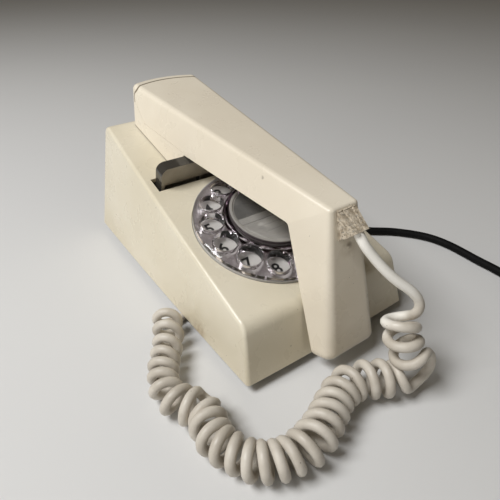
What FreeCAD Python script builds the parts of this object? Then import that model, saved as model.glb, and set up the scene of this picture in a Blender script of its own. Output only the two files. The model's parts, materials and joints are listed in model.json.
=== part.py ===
import FreeCAD, Part
import math
import os

V = FreeCAD.Vector

# Case: a wedge with leaning walls, in millimetres, +Z up, the user in front at -Y
FRONT_HEIGHT = 32.7
SLOPE_DEGREES = 15.7
SIDE_LAND = 11.9
FRONT_LAND = 8.3
REAR_LAND = 14.8
SIDE_LEAN = 0.135
FRONT_LEAN = 0.302
REAR_LEAN = 0.157
SIDE_BOW = 0.9
FRONT_BOW = 0.8
CASE_WALL = 2.6
FRONT_EDGE_R = 8.0
REAR_EDGE_R = 5.0
SIDE_EDGE_R = 2.0

# Base plate, feet and screws
FOOT_HEIGHT = 3.4
FOOT_R = 6.0
FOOT_BEVEL = 0.8
FOOT_INSET_X = 15.5
FOOT_INSET_Y = 17.2
PLATE_THICK = 2.6
PLATE_GAP = 0.3
CASE_SKIRT = 1.0
SCREW_R = 1.4
SCREW_HEAD_R = 2.7
SCREW_HEAD_H = 1.6
SCREW_GAP = 0.1
SCREW_TIP_GAP = 2.0
POST_R = 3.6
POST_INSET_X = 7.5
POST_INSET_FRONT = 21.2
POST_INSET_REAR = 13.2
POST_HEIGHT = 14.0

# Dial, in lifts above the sloping top and radii about its spindle
PLATE_R = 40.6
PLATE_CLEAR = 0.9
RIM_H = 2.0
RIM_BEVEL = 0.8
SHOULDER_IN = 3.0
SHOULDER_H = 3.4
HUB_LAND = 1.3
HUB_H = 5.7
HUB_FLOOR_H = 2.2
HOLE_RIM = 2.6
HOLE_WEB = 1.66
HOLE_COUNT = 10
HOLE_PITCH = 26.0
FIRST_HOLE = 60.0
NUMBER_RING_THICK = 2.1
NUMBER_RING_BORE_GAP = 5.0
RECESS_GAP = 0.4
RECESS_DEPTH = 1.2
RECESS_LEDGE = 5.0
BOSS_WALL = 1.5
BOSS_DROP = 1.8
LABEL_CARRIER_H = 4.0
LABEL_THICK = 0.4
LABEL_GAP = 0.3
CAP_GAP = 1.6
CAP_WALL = 1.3
CAP_SKIRT = 1.9
CAP_LENS = 0.6
CAP_RIM_RISE = 0.5
CAP_RIM_WIDTH = 2.1
STOP_ANGLE = -16.0
STOP_REACH = 14.6
STOP_GAP = 1.0
STOP_FOOT = 1.8
STOP_WIDTH = 5.0
STOP_THICK = 1.4
STOP_CLEAR = 1.1

# Dial mechanism, stacked down from the recess
SPINDLE_R = 4.0
RUNNING_GAP = 0.05
FLANGE_R = 12.0
FLANGE_THICK = 0.9
SPRING_COLLAR = 1.2
SPRING_CLEAR = 1.8
SPRING_HEIGHT = 4.0
SPRING_STRIP = 0.5
SPRING_PITCH = 2.4
SPRING_TURNS = 4
SPRING_POST_R = 1.2
BEARING_WALL = 2.5
BEARING_CLEAR = 1.0
BEARING_RISE = 4.0
BEARING_DROP = 2.5
FRAME_LIP = 1.4
FRAME_THICK = 2.0
PILLAR_R = 3.4
PILLAR_ANGLES = (80.0, 205.0, 325.0)
PILLAR_STEP = 2.8
GEAR_MODULE = 0.8
GEAR_THICK = 2.0
GEAR_CLEAR = 0.5
GEAR_BACKLASH = 0.12
WHEEL_TEETH = 60
WHEEL_SPOKES = 4
WHEEL_RIM = 4.0
IMPULSE_TEETH = 20
IMPULSE_ANGLE = 22.0
GOVERNOR_TEETH = 12
GOVERNOR_ANGLE = 140.0
SHAFT_R = 1.5
SHAFT_DROP = 2.0
CAM_R = 5.0
CAM_CLEAR = 2.6
CAM_THICK = 2.4
CONTACT_GAP = 0.4
CUP_R = 9.6
CUP_WALL = 1.2
CUP_HEIGHT = 6.0
WEIGHT_GAP = 0.5
WEIGHT_THICK = 2.6

# Hook bar in its slot behind the dial
SLOT_LAND = 5.4
SLOT_DEPTH = 10.9
SLOT_SIDE_LAND = 4.1
BAR_END_GAP = 2.2
BAR_THICK = 7.0
BAR_CLEAR = 0.25
BAR_DROP = 9.0
BAR_WALL = 1.9
BAR_CORNER_R = 4.5
BAR_RIB_X = 13.0
BAR_RIB_THICK = 1.2
GUIDE_WALL = 1.6
GUIDE_GAP = 0.3
CARRIER_HEIGHT = 8.0
HOOK_SPRING_THICK = 0.6
HOOK_SPRING_GAP = 0.3
HOOK_SPRING_RISE = 5.0

# Earpiece well behind the slot
WELL_LAND = 6.2
WELL_LENGTH = 38.0
WELL_HALF_X = 19.5
WELL_DEPTH = 6.5
WELL_WALL = 2.2
WELL_CORNER_R = 7.0

# Handset in side view, along the sloping top and up from it, with its half widths
HAND_OVERHANG = 7.6
HAND_REAR_LIFT = 19.8
ELBOW_AT = (8.2, 47.45)
TIP_OUT_AT = (-28.4, -17.7)
TIP_IN_AT = (-20.0, -21.9)
INNER_CORNER_AT = (23.7, 28.8)
UNDER_EAR_LIFT = 12.1
UNDER_EAR_BACK = 3.5
EAR_FRONT_LAND = 2.2
EAR_REAR_LAND = 11.7
EAR_CLEAR = 0.35
HALF_REAR_TOP = 21.5
HALF_ELBOW = 8.2
HALF_INNER_CORNER = 14.0
HALF_TIP_OUT = 15.7
HAND_EDGE_R = 3.4
HAND_TIP_EDGE_R = 5.5
HAND_ELBOW_R = 2.8
HAND_MITRE_R = 1.8
HAND_REAR_R = 2.4
HAND_INNER_R = 2.5
HAND_TIP_R = 4.5
HAND_REAR_BOW = 6.0
SEAM_LIP = 2.6
SEAM_MID_LIFT = 12.0
SEAM_BEND_BACK = 13.6
SEAM_BEND_LIFT = 6.5
SEAM_FRONT_BACK = 0.7
SEAM_FRONT_LIFT = 12.75
SEAM_GAP = 0.15
EAR_PAD_DROP = 4.5
EAR_PAD_GAP = 2.4
CAPSULE_R = 14.0
CAPSULE_HEIGHT = 9.0
CAPSULE_GAP = 0.2
CAPSULE_BACK = 23.0
CAPSULE_FLANGE = 2.5
GASKET_THICK = 1.5
GASKET_WIDTH = 4.0
EAR_HOLLOW = 5.5
EAR_HOLE_R = 1.1
EAR_HOLE_RING_R = 5.0
EAR_HOLE_OUTER_R = 9.5
EAR_HOLE_COUNT = 6
EAR_HOLE_OUTER_COUNT = 10
MOUTH_R = 8.6
MOUTH_DEPTH = 5.6
MOUTH_FROM_TIP = 20.0
GRILLE_THICK = 1.2
GRILLE_SUNK = 0.2
GRILLE_HOLE_R = 1.2
GRILLE_CIRCLE_R = 4.6
RELIEF_HALF_BASE = 5.4
RELIEF_HALF_TIP = 3.6
RELIEF_REACH = 13.0
RELIEF_BASE = 14.0
RELIEF_SUNK = 4.0
RELIEF_END = 6.4
RELIEF_GAP = 0.1
RELIEF_GROOVE = 0.7

# Inner pieces on the base plate
STANDOFF_R = 3.0
STANDOFF_H = 6.0
STANDOFF_INSET = 5.0
BOARD_HALF_X = 35.0
BOARD_LENGTH = 56.0
BOARD_INSET = 9.2
BOARD_THICK = 1.6
CORE_SIZE = (26.0, 20.0, 22.0)
CORE_X = -18.0
CORE_FROM_REAR = 18.0
CORE_LIMB = 5.0
CAPACITOR_R = 6.0
CAPACITOR_H = 24.0
CAPACITOR_XS = (10.0, 24.0)
CAPACITOR_FROM_REAR = 12.0
TERMINAL_SIZE = (44.0, 11.0, 10.0)
TERMINAL_FROM_FRONT = 9.0
TERMINAL_COUNT = 6
TERMINAL_SCREW = 6.0
SOUNDER_R = 19.0
SOUNDER_H = 11.0
SOUNDER_WALL = 3.0
SOUNDER_Y = -12.0
SOUND_SLOTS = 5
SOUND_SLOT_PITCH = 5.0
SOUND_SLOT_WIDTH = 2.0
CLIP_WIDTH = 7.0
CLIP_THICK = 1.0
CLIP_GAP = 0.3
CLIP_FOOT = 5.0
SLIDER_INSET = 18.5
SLIDER_NECK = 4.0
SLIDER_HALF_TRAVEL = 6.0
SLIDER_GAP = 0.25
SLIDER_PLAY = 0.1
SLIDER_PROUD = 1.5

# Cords: wire and coil diameters, glands and the routes' points, chosen by hand
HAND_WIRE_D = 4.6
CURL_D = 17.5
LINE_D = 5.0
CORD_GAP = 0.1
HAND_GLAND_INSET = 5.5
HAND_GLAND_Y = -27.4
HAND_GLAND_LENGTH = 10.0
HAND_GLAND_WIDTH = 9.4
HAND_GLAND_FLANGE = 3.0
LINE_GLAND_X = 18.0
LINE_GLAND_TAIL = 24.0
LINE_NECK_R = 4.5
LINE_NECK_GAP = 0.1
LINE_FLANGE = 1.4
LINE_FLANGE_THICK = 2.0
LINE_FLANGE_GAP = 0.2
LINE_TIP_WALL = 0.9
HAND_TAIL_POINTS = ((2.6, -102.0, 64.4), (6.6, -107.4, 58.0), (9.4, -113.0, 51.6), (9.9, -117.6, 44.4),
                    (9.62, -119.12, 38.95))
CURL_POINTS = ((9.6, -119.2, 38.6), (9.2, -121.4, 29.6), (8.4, -126.4, 18.6), (0.6, -127.4, 9.6),
               (-10.4, -120.6, 9.0), (-22.0, -116.8, 9.0), (-34.5, -119.8, 9.0), (-46.8, -125.4, 9.0),
               (-59.4, -127.2, 9.0), (-71.6, -121.6, 9.0), (-76.8, -107.5, 9.0), (-78.9, -91.9, 9.0),
               (-82.9, -76.6, 9.0), (-81.2, -61.8, 9.0), (-73.4, -47.7, 9.0), (-66.0, -34.8, 9.0))
BASE_TAIL_POINTS = ((-65.85, -34.5, 9.0), (-63.6, -30.6, 8.4), (-60.0, -28.2, 5.6), (-56.0, -27.6, 3.0),
                    (-51.6, -27.4, 2.4))
LINE_POINTS = ((18.0, 124.0, 12.3), (19.2, 135.0, 9.8), (24.0, 145.5, 6.2), (33.0, 153.5, 3.4),
               (45.0, 156.0, 2.6), (57.5, 152.0, 2.6), (68.0, 143.0, 2.6), (77.0, 127.0, 2.6),
               (83.0, 106.0, 2.6), (86.0, 82.0, 2.6), (86.5, 57.0, 2.6), (86.0, 31.0, 2.6), (88.0, 6.0, 2.6),
               (94.0, -18.0, 2.6), (108.0, -37.0, 2.6), (122.5, -51.5, 2.6), (131.0, -66.5, 2.6),
               (133.0, -83.0, 2.6), (130.4, -101.0, 2.6), (126.0, -118.0, 2.8), (122.6, -134.0, 3.6))
COIL_CENTRE = (150.0, -146.0)
COIL_MID_R = 28.0
COIL_WIDE = 2
COIL_HIGH = 4
COIL_LOW = 0.9
TIE_WIDTH = 5.0
TIE_THICK = 0.8
TIE_GAP = 0.3
TIE_ANGLE = -90.0
PLUG_SIZE = (22.0, 12.0, 8.6)
PLUG_ANGLE = 10.0
PLUG_GAP = 0.4
PLUG_ROUND = 1.0
PLUG_LATCH = (6.0, 4.8, 1.2)
PLUG_NOSE = 6.0
PLUG_STEP = 1.5
BOOT_LENGTH = 12.0
BOOT_TIP_WALL = 0.6
BOOT_WALL = 1.6

# Worked out from the driving sizes
PLATE_BOTTOM = FOOT_HEIGHT
PLATE_TOP = PLATE_BOTTOM + PLATE_THICK
CASE_BOTTOM = PLATE_TOP - CASE_SKIRT
CASE_WIDTH = 2 * (PLATE_R + SIDE_LAND)
DIAL_ALONG = FRONT_LAND + PLATE_R
SLOT_FRONT = DIAL_ALONG + PLATE_R + SLOT_LAND
SLOT_REAR = SLOT_FRONT + SLOT_DEPTH
SLOT_MID = (SLOT_FRONT + SLOT_REAR) / 2
WELL_FRONT = SLOT_REAR + WELL_LAND
WELL_REAR = WELL_FRONT + WELL_LENGTH
TOP_LENGTH = WELL_REAR + REAR_LAND
SLOPE = math.radians(SLOPE_DEGREES)
REAR_HEIGHT = FRONT_HEIGHT + TOP_LENGTH * math.sin(SLOPE)
FRONT_RUN = FRONT_LEAN * (FRONT_HEIGHT - CASE_BOTTOM)
REAR_RUN = REAR_LEAN * (REAR_HEIGHT - CASE_BOTTOM)
HALF_LENGTH = (TOP_LENGTH * math.cos(SLOPE) + FRONT_RUN + REAR_RUN) / 2
TOP_PLACE = FreeCAD.Placement(V(0, FRONT_RUN - HALF_LENGTH, FRONT_HEIGHT),
                              FreeCAD.Rotation(V(1, 0, 0), SLOPE_DEGREES))
FOOT_X = CASE_WIDTH / 2 - FOOT_INSET_X
FOOT_Y = HALF_LENGTH - FOOT_INSET_Y
POST_X = CASE_WIDTH / 2 - POST_INSET_X
POST_FRONT_Y = POST_INSET_FRONT - HALF_LENGTH
POST_REAR_Y = HALF_LENGTH - POST_INSET_REAR
POST_TOP = PLATE_TOP + POST_HEIGHT

HOLE_SPREAD = math.sin(math.radians(HOLE_PITCH / 2))
HOLE_CIRCLE_R = (PLATE_R - HOLE_RIM + HOLE_WEB / 2) / (1 + HOLE_SPREAD)
HOLE_R = HOLE_CIRCLE_R * HOLE_SPREAD - HOLE_WEB / 2
HUB_R = HOLE_CIRCLE_R - HOLE_R - HUB_LAND
NUMBER_RING_IN_R = FLANGE_R + NUMBER_RING_BORE_GAP
NUMBER_RING_TOP = NUMBER_RING_THICK - RECESS_DEPTH
PLATE_LOW = NUMBER_RING_TOP + PLATE_CLEAR
RIM_TOP = PLATE_LOW + RIM_H
SHOULDER_R = PLATE_R - SHOULDER_IN
SHOULDER_TOP = PLATE_LOW + SHOULDER_H
HUB_TOP = PLATE_LOW + HUB_H
HUB_FLOOR = PLATE_LOW + HUB_FLOOR_H
LABEL_LOW = HUB_FLOOR + LABEL_CARRIER_H
LENS_LOW = LABEL_LOW + LABEL_THICK
CAP_R = HUB_R - CAP_GAP
CAP_LOW = LENS_LOW - CAP_SKIRT
CAP_TOP = LENS_LOW + CAP_LENS
CAP_RIM_TOP = CAP_TOP + CAP_RIM_RISE
LABEL_R = CAP_R - CAP_WALL - LABEL_GAP
STOP_LOW = HUB_TOP + STOP_CLEAR
STOP_LEG_R = PLATE_R + STOP_GAP
STOP_TIP_R = STOP_LEG_R - STOP_REACH
DIAL_HOLE_R = PLATE_R + RECESS_GAP - RECESS_LEDGE
DIAL_BOSS_R = PLATE_R + RECESS_GAP + BOSS_WALL
DIAL_BOSS_LOW = -CASE_WALL - BOSS_DROP
DIAL_SCREW_R = DIAL_HOLE_R + PILLAR_STEP

SPRING_COLLAR_R = SPINDLE_R + SPRING_COLLAR
SPRING_TOP = -RECESS_DEPTH - SPRING_CLEAR
SPRING_LOW = SPRING_TOP - SPRING_HEIGHT
BEARING_R = SPINDLE_R + BEARING_WALL
BEARING_TOP = SPRING_LOW - BEARING_CLEAR
FRAME_R = PLATE_R + FRAME_LIP
FRAME_TOP = BEARING_TOP - BEARING_RISE
FRAME_LOW = FRAME_TOP - FRAME_THICK
BEARING_LOW = FRAME_LOW - BEARING_DROP
WHEEL_TOP = BEARING_LOW - GEAR_CLEAR
WHEEL_LOW = WHEEL_TOP - GEAR_THICK
SHAFT_LOW = WHEEL_LOW - SHAFT_DROP
CAM_TOP = WHEEL_LOW - CAM_CLEAR
CAM_LOW = CAM_TOP - CAM_THICK
WHEEL_PITCH_R = GEAR_MODULE * WHEEL_TEETH / 2
IMPULSE_PITCH_R = GEAR_MODULE * IMPULSE_TEETH / 2
GOVERNOR_PITCH_R = GEAR_MODULE * GOVERNOR_TEETH / 2

SLOT_RISE = FRONT_HEIGHT + SLOT_MID * math.sin(SLOPE) - CASE_BOTTOM
SLOT_HALF_X = CASE_WIDTH / 2 - SIDE_LEAN * SLOT_RISE - SLOT_SIDE_LAND
BAR_HALF_X = SLOT_HALF_X - BAR_END_GAP
BAR_REAR = SLOT_MID + BAR_THICK / 2
EAR_FRONT = SLOT_REAR + EAR_FRONT_LAND
EAR_REAR = WELL_REAR + EAR_REAR_LAND
UNDER_EAR_AT = (EAR_FRONT - UNDER_EAR_BACK, UNDER_EAR_LIFT)
UNDER_FALL = (UNDER_EAR_AT[1] - INNER_CORNER_AT[1]) / (UNDER_EAR_AT[0] - INNER_CORNER_AT[0])
BAR_TOP = UNDER_EAR_AT[1] + UNDER_FALL * (BAR_REAR - UNDER_EAR_AT[0]) - BAR_CLEAR
BAR_LOW = -BAR_DROP
CARRIER_LOW = BAR_LOW - CARRIER_HEIGHT
GUIDE_FLOOR = CARRIER_LOW - HOOK_SPRING_RISE
GUIDE_LOW = GUIDE_FLOOR - GUIDE_WALL

BOARD_LOW = PLATE_TOP + STANDOFF_H
BOARD_TOP = BOARD_LOW + BOARD_THICK
BOARD_REAR = HALF_LENGTH - BOARD_INSET
BOARD_FRONT = BOARD_REAR - BOARD_LENGTH
CORE_Y = BOARD_REAR - CORE_FROM_REAR
CAPACITOR_Y = BOARD_REAR - CAPACITOR_FROM_REAR
TERMINAL_Y = BOARD_FRONT + TERMINAL_FROM_FRONT
SLIDER_X = CASE_WIDTH / 2 - SLIDER_INSET
HAND_GLAND_TIP = (HAND_GLAND_INSET - CASE_WIDTH / 2, HAND_GLAND_Y, HAND_WIRE_D / 2 + CORD_GAP)
LINE_GLAND_Z = PLATE_TOP + LINE_NECK_R + LINE_FLANGE + 2 * LINE_FLANGE_GAP
FAR = 400.0


# Helpers
def box(x0, x1, y0, y1, z0, z1):
    return Part.makeBox(x1 - x0, y1 - y0, z1 - z0, V(x0, y0, z0))


def rod(r, low, high, x=0.0, y=0.0):
    return Part.makeCylinder(r, high - low, V(x, y, low))


def ring(r_out, r_in, low, high, x=0.0, y=0.0):
    return rod(r_out, low, high, x, y).cut(rod(r_in, low - 1, high + 1, x, y))


def prism(points, direction):
    corners = [V(*p) for p in points]
    return Part.Face(Part.makePolygon(corners + corners[:1])).extrude(direction)


def revolve(profile):
    corners = [V(r, 0, z) for r, z in profile]
    face = Part.Face(Part.makePolygon(corners + corners[:1]))
    return face.revolve(V(0, 0, 0), V(0, 0, 1), 360)


def side_prism(profile, half):
    return prism([(-half, y, z) for y, z in profile], V(2 * half, 0, 0))


def fuse_all(shapes):
    whole = shapes[0].multiFuse(shapes[1:]) if len(shapes) > 1 else shapes[0]
    return whole.removeSplitter()


def on_top(shape):
    placed = shape.copy()
    placed.Placement = TOP_PLACE.multiply(placed.Placement)
    return placed


def on_dial(shape):
    moved = shape.copy()
    moved.translate(V(0, DIAL_ALONG, 0))
    return on_top(moved)


def polar(r, degrees):
    return r * math.cos(math.radians(degrees)), r * math.sin(math.radians(degrees))


def top_point(along, lift):
    point = TOP_PLACE.multVec(V(0, along, lift))
    return point.y, point.z


def edges_at(shape, test):
    return [e for e in shape.Edges if test(e.valueAt((e.FirstParameter + e.LastParameter) / 2), e)]


def rounded_plate(half_x, y0, y1, low, high, corner):
    plate = box(-half_x, half_x, y0, y1, low, high)
    upright = edges_at(plate, lambda p, e: e.BoundBox.ZLength > (high - low) / 2)
    return plate.makeFillet(corner, upright)


# Case
def case_outline(z, inset):
    rise = z - CASE_BOTTOM
    half = CASE_WIDTH / 2 - SIDE_LEAN * rise - inset
    front = -HALF_LENGTH + FRONT_LEAN * rise + inset
    rear = HALF_LENGTH - REAR_LEAN * rise - inset
    middle = (front + rear) / 2
    corners = [V(-half, front, z), V(half, front, z), V(half, rear, z), V(-half, rear, z)]
    bulges = [V(0, front - FRONT_BOW, z), V(half + SIDE_BOW, middle, z),
              V(0, rear + FRONT_BOW, z), V(-half - SIDE_BOW, middle, z)]
    arcs = [Part.Arc(corners[i], bulges[i], corners[(i + 1) % 4]).toShape() for i in range(4)]
    return Part.Wire(arcs)


def case_wedge(inset, low, lift):
    tall = REAR_HEIGHT + 20
    block = Part.makeLoft([case_outline(low, inset), case_outline(tall, inset)], True, True)
    return block.cut(on_top(box(-FAR, FAR, -FAR, FAR, lift, FAR)))


def case_outside():
    body = case_wedge(0.0, CASE_BOTTOM, 0.0)
    front = edges_at(body, lambda p, e: abs(p.x) < 1 and abs(p.z - FRONT_HEIGHT) < 2)
    body = body.makeFillet(FRONT_EDGE_R, front)
    rear = edges_at(body, lambda p, e: abs(p.x) < 1 and abs(p.z - REAR_HEIGHT) < 2)
    body = body.makeFillet(REAR_EDGE_R, rear)
    sides = edges_at(body, lambda p, e: abs(p.x) > CASE_WIDTH / 4 and e.BoundBox.ZMax > CASE_BOTTOM + 1)
    return body.makeFillet(SIDE_EDGE_R, sides)


def post_places():
    return [(x, y) for x in (-POST_X, POST_X) for y in (POST_FRONT_Y, POST_REAR_Y)]


def line_notch(r):
    upper = Part.makeCylinder(r, FAR, V(LINE_GLAND_X, HALF_LENGTH / 2, LINE_GLAND_Z), V(0, 1, 0))
    lower = box(LINE_GLAND_X - r, LINE_GLAND_X + r, HALF_LENGTH / 2, FAR, 0, LINE_GLAND_Z)
    return upper.fuse(lower)


def case_cover():
    outside = case_outside()
    inside = case_wedge(CASE_WALL, CASE_BOTTOM - 1, -CASE_WALL)
    well_out = rounded_plate(WELL_HALF_X + WELL_WALL, WELL_FRONT - WELL_WALL,
                             WELL_REAR + WELL_WALL, -WELL_DEPTH - WELL_WALL, -CASE_WALL / 2,
                             WELL_CORNER_R + WELL_WALL)
    boss = ring(DIAL_BOSS_R, DIAL_HOLE_R, DIAL_BOSS_LOW, -CASE_WALL / 2)
    posts = [rod(POST_R, PLATE_TOP, POST_TOP, x, y).common(outside) for x, y in post_places()]
    shell = outside.cut(inside).fuse([on_top(well_out), on_dial(boss)] + posts)
    well = rounded_plate(WELL_HALF_X, WELL_FRONT, WELL_REAR, -WELL_DEPTH, 5, WELL_CORNER_R)
    slot = box(-SLOT_HALF_X, SLOT_HALF_X, SLOT_FRONT, SLOT_REAR, -CASE_WALL * 2, 5)
    recess = rod(PLATE_R + RECESS_GAP, -RECESS_DEPTH, 5)
    hole = rod(DIAL_HOLE_R, -FAR / 10, 5)
    cuts = [on_top(well), on_top(slot), on_dial(recess), on_dial(hole), line_notch(LINE_NECK_R)]
    cuts += [rod(SCREW_R + SCREW_GAP, 0, POST_TOP - SCREW_TIP_GAP, x, y) for x, y in post_places()]
    for angle in PILLAR_ANGLES:
        cuts.append(on_dial(rod(SCREW_R + SCREW_GAP, DIAL_BOSS_LOW - 1,
                                DIAL_BOSS_LOW + BOSS_DROP + SCREW_GAP, *polar(DIAL_SCREW_R, angle))))
    return shell.cut(cuts).removeSplitter()


# Base plate
def standoff_places():
    xs = (-BOARD_HALF_X + STANDOFF_INSET, BOARD_HALF_X - STANDOFF_INSET)
    ys = (BOARD_FRONT + STANDOFF_INSET, BOARD_REAR - STANDOFF_INSET)
    return [(x, y) for x in xs for y in ys]


def foot_places():
    return [(x, y) for x in (-FOOT_X, FOOT_X) for y in (-FOOT_Y, FOOT_Y)]


def base_plate():
    inset = CASE_WALL + PLATE_GAP
    plate = Part.makeLoft([case_outline(PLATE_BOTTOM, inset), case_outline(PLATE_TOP, inset)], True, True)
    upright = edges_at(plate, lambda p, e: abs(p.x) > CASE_WIDTH / 4 and e.BoundBox.XLength < 2
                       and e.BoundBox.YLength < 2)
    plate = plate.makeFillet(SIDE_EDGE_R, upright)
    standoffs = [rod(STANDOFF_R, PLATE_TOP, BOARD_LOW, x, y) for x, y in standoff_places()]
    plate = plate.fuse(standoffs)
    tip_x, tip_y, tip_z = HAND_GLAND_TIP
    half = HAND_GLAND_WIDTH / 2
    cuts = [box(-FAR, tip_x + HAND_GLAND_LENGTH, tip_y - half, tip_y + half, 0, PLATE_TOP + 1)]
    for x, y in post_places():
        cuts.append(rod(SCREW_R + SCREW_GAP, 0, FAR, x, y))
        cuts.append(rod(SCREW_HEAD_R + SCREW_GAP, 0, PLATE_BOTTOM + SCREW_HEAD_H, x, y))
    for i in range(SOUND_SLOTS):
        y = SOUNDER_Y + (i - (SOUND_SLOTS - 1) / 2) * SOUND_SLOT_PITCH
        reach = 0.6 * SOUNDER_R
        cuts.append(box(-reach, reach, y - SOUND_SLOT_WIDTH / 2, y + SOUND_SLOT_WIDTH / 2, 0, PLATE_TOP + 1))
    neck = SLIDER_NECK / 2 + SLIDER_GAP
    cuts.append(box(SLIDER_X - neck, SLIDER_X + neck, SOUNDER_Y - neck - SLIDER_HALF_TRAVEL,
                    SOUNDER_Y + neck + SLIDER_HALF_TRAVEL, 0, PLATE_TOP + 1))
    return plate.cut(cuts).removeSplitter()


def rubber_feet():
    profile = ((0, 0), (FOOT_R - FOOT_BEVEL, 0), (FOOT_R, FOOT_BEVEL), (FOOT_R, PLATE_BOTTOM),
               (0, PLATE_BOTTOM))
    foot = revolve(profile)
    return Part.makeCompound([foot.translated(V(x, y, 0)) for x, y in foot_places()])


def screw(low, length):
    return fuse_all([rod(SCREW_HEAD_R, low, low + SCREW_HEAD_H), rod(SCREW_R, low, low + length)])


def case_screws():
    one = screw(PLATE_BOTTOM, POST_TOP - 2 * SCREW_TIP_GAP - PLATE_BOTTOM)
    return Part.makeCompound([one.translated(V(x, y, 0)) for x, y in post_places()])


# Dial
def hole_angle(index):
    return FIRST_HOLE + HOLE_PITCH * index


def finger_plate():
    profile = ((SPINDLE_R, PLATE_LOW), (PLATE_R, PLATE_LOW), (PLATE_R, RIM_TOP),
               (PLATE_R - RIM_BEVEL, RIM_TOP + RIM_BEVEL / 2), (SHOULDER_R, SHOULDER_TOP), (HUB_R, HUB_TOP),
               (HUB_R, HUB_FLOOR), (SPINDLE_R, HUB_FLOOR))
    holes = [rod(HOLE_R, 0, FAR / 10, *polar(HOLE_CIRCLE_R, hole_angle(i))) for i in range(HOLE_COUNT)]
    return on_dial(revolve(profile).cut(holes))


def number_ring():
    return on_dial(ring(PLATE_R, NUMBER_RING_IN_R, -RECESS_DEPTH, NUMBER_RING_TOP))


def label_carrier():
    return on_dial(rod(LABEL_R, HUB_FLOOR, LABEL_LOW))


def label_disc():
    return on_dial(rod(LABEL_R, LABEL_LOW, LABEL_LOW + LABEL_THICK))


def label_cap():
    bevel = CAP_RIM_RISE
    rim_in = CAP_R - CAP_RIM_WIDTH
    profile = ((0, LENS_LOW), (CAP_R - CAP_WALL, LENS_LOW), (CAP_R - CAP_WALL, CAP_LOW), (CAP_R, CAP_LOW),
               (CAP_R, CAP_RIM_TOP - bevel), (CAP_R - bevel, CAP_RIM_TOP), (rim_in + bevel, CAP_RIM_TOP),
               (rim_in, CAP_TOP), (0, CAP_TOP))
    return on_dial(revolve(profile))


def finger_stop():
    foot = STOP_LEG_R + STOP_THICK
    top = STOP_LOW + STOP_THICK
    profile = ((STOP_LEG_R, 0), (foot + STOP_FOOT, 0), (foot + STOP_FOOT, STOP_THICK), (foot, STOP_THICK),
               (foot, top - 1),
               (foot - 1, top), (STOP_TIP_R + 1, top), (STOP_TIP_R, top - 0.6), (STOP_TIP_R, STOP_LOW),
               (STOP_LEG_R, STOP_LOW))
    half = STOP_WIDTH / 2
    bar = prism([(r, -half, z) for r, z in profile], V(0, STOP_WIDTH, 0))
    bar.rotate(V(0, 0, 0), V(0, 0, 1), STOP_ANGLE)
    return on_dial(bar)


def dial_spindle():
    low = WHEEL_LOW - GEAR_CLEAR
    collar_low = SPRING_LOW
    flange_low = PLATE_LOW - FLANGE_THICK
    profile = ((0, low), (SPINDLE_R, low), (SPINDLE_R, collar_low), (SPRING_COLLAR_R, collar_low),
               (SPRING_COLLAR_R, SPRING_TOP), (SPINDLE_R, SPRING_TOP), (SPINDLE_R, flange_low),
               (FLANGE_R, flange_low), (FLANGE_R, PLATE_LOW), (SPINDLE_R, PLATE_LOW), (SPINDLE_R, HUB_FLOOR),
               (0, HUB_FLOOR))
    return on_dial(revolve(profile))


def gear(teeth, bore, low, high):
    pitch_r = GEAR_MODULE * teeth / 2
    tip_r = pitch_r + 0.9 * GEAR_MODULE
    root_r = pitch_r - 1.15 * GEAR_MODULE
    step = 360 / teeth
    slack = math.degrees(GEAR_BACKLASH / pitch_r)
    points = []
    for i in range(teeth):
        for r, share in ((root_r, -0.38), (tip_r, -0.13), (tip_r, 0.13), (root_r, 0.38)):
            half_slack = slack / 2 if share < 0 else -slack / 2
            points.append((*polar(r, step * (i + share) + half_slack), low))
    return prism(points, V(0, 0, high - low)).cut(rod(bore, low - 1, high + 1))


def main_wheel():
    wheel = gear(WHEEL_TEETH, SPINDLE_R, WHEEL_LOW, WHEEL_TOP)
    windows = ring(WHEEL_PITCH_R - WHEEL_RIM, BEARING_R + GEAR_THICK, WHEEL_LOW - 1, WHEEL_TOP + 1)
    spokes = []
    for i in range(WHEEL_SPOKES):
        spoke = box(0, WHEEL_PITCH_R, -GEAR_THICK, GEAR_THICK, WHEEL_LOW - 1, WHEEL_TOP + 1)
        spoke.rotate(V(0, 0, 0), V(0, 0, 1), 45 + 360 / WHEEL_SPOKES * i)
        spokes.append(spoke)
    return on_dial(wheel.cut(windows.cut(spokes)))


def shaft_place(pitch_r, angle):
    return polar(WHEEL_PITCH_R + pitch_r, angle)


def meshed(shape, teeth, pitch_r, angle):
    """Turns a pinion so that one of its gaps faces the wheel's tooth, then sets it at its centre."""
    wheel_step = 360 / WHEEL_TEETH
    wheel_phase = (angle / wheel_step) % 1
    turn = angle + 180 + (0.5 + wheel_phase) * 360 / teeth
    turned = shape.copy()
    turned.rotate(V(0, 0, 0), V(0, 0, 1), turn)
    turned.translate(V(*shaft_place(pitch_r, angle), 0))
    return on_dial(turned)


def impulse_wheel():
    pinion = gear(IMPULSE_TEETH, SHAFT_R / 2, WHEEL_LOW, WHEEL_TOP)
    shaft = rod(SHAFT_R, CAM_LOW, FRAME_TOP)
    return meshed(pinion.fuse(shaft), IMPULSE_TEETH, IMPULSE_PITCH_R, IMPULSE_ANGLE)


def impulse_cam():
    cam = rod(CAM_R, CAM_LOW, CAM_TOP)
    notches = [rod(CAM_R / 3, CAM_LOW - 1, CAM_TOP + 1, *polar(CAM_R, a)) for a in (0, 120, 240)]
    cam = cam.cut(notches + [rod(SHAFT_R, CAM_LOW - 1, CAM_TOP + 1)])
    return meshed(cam, IMPULSE_TEETH, IMPULSE_PITCH_R, IMPULSE_ANGLE)


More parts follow.
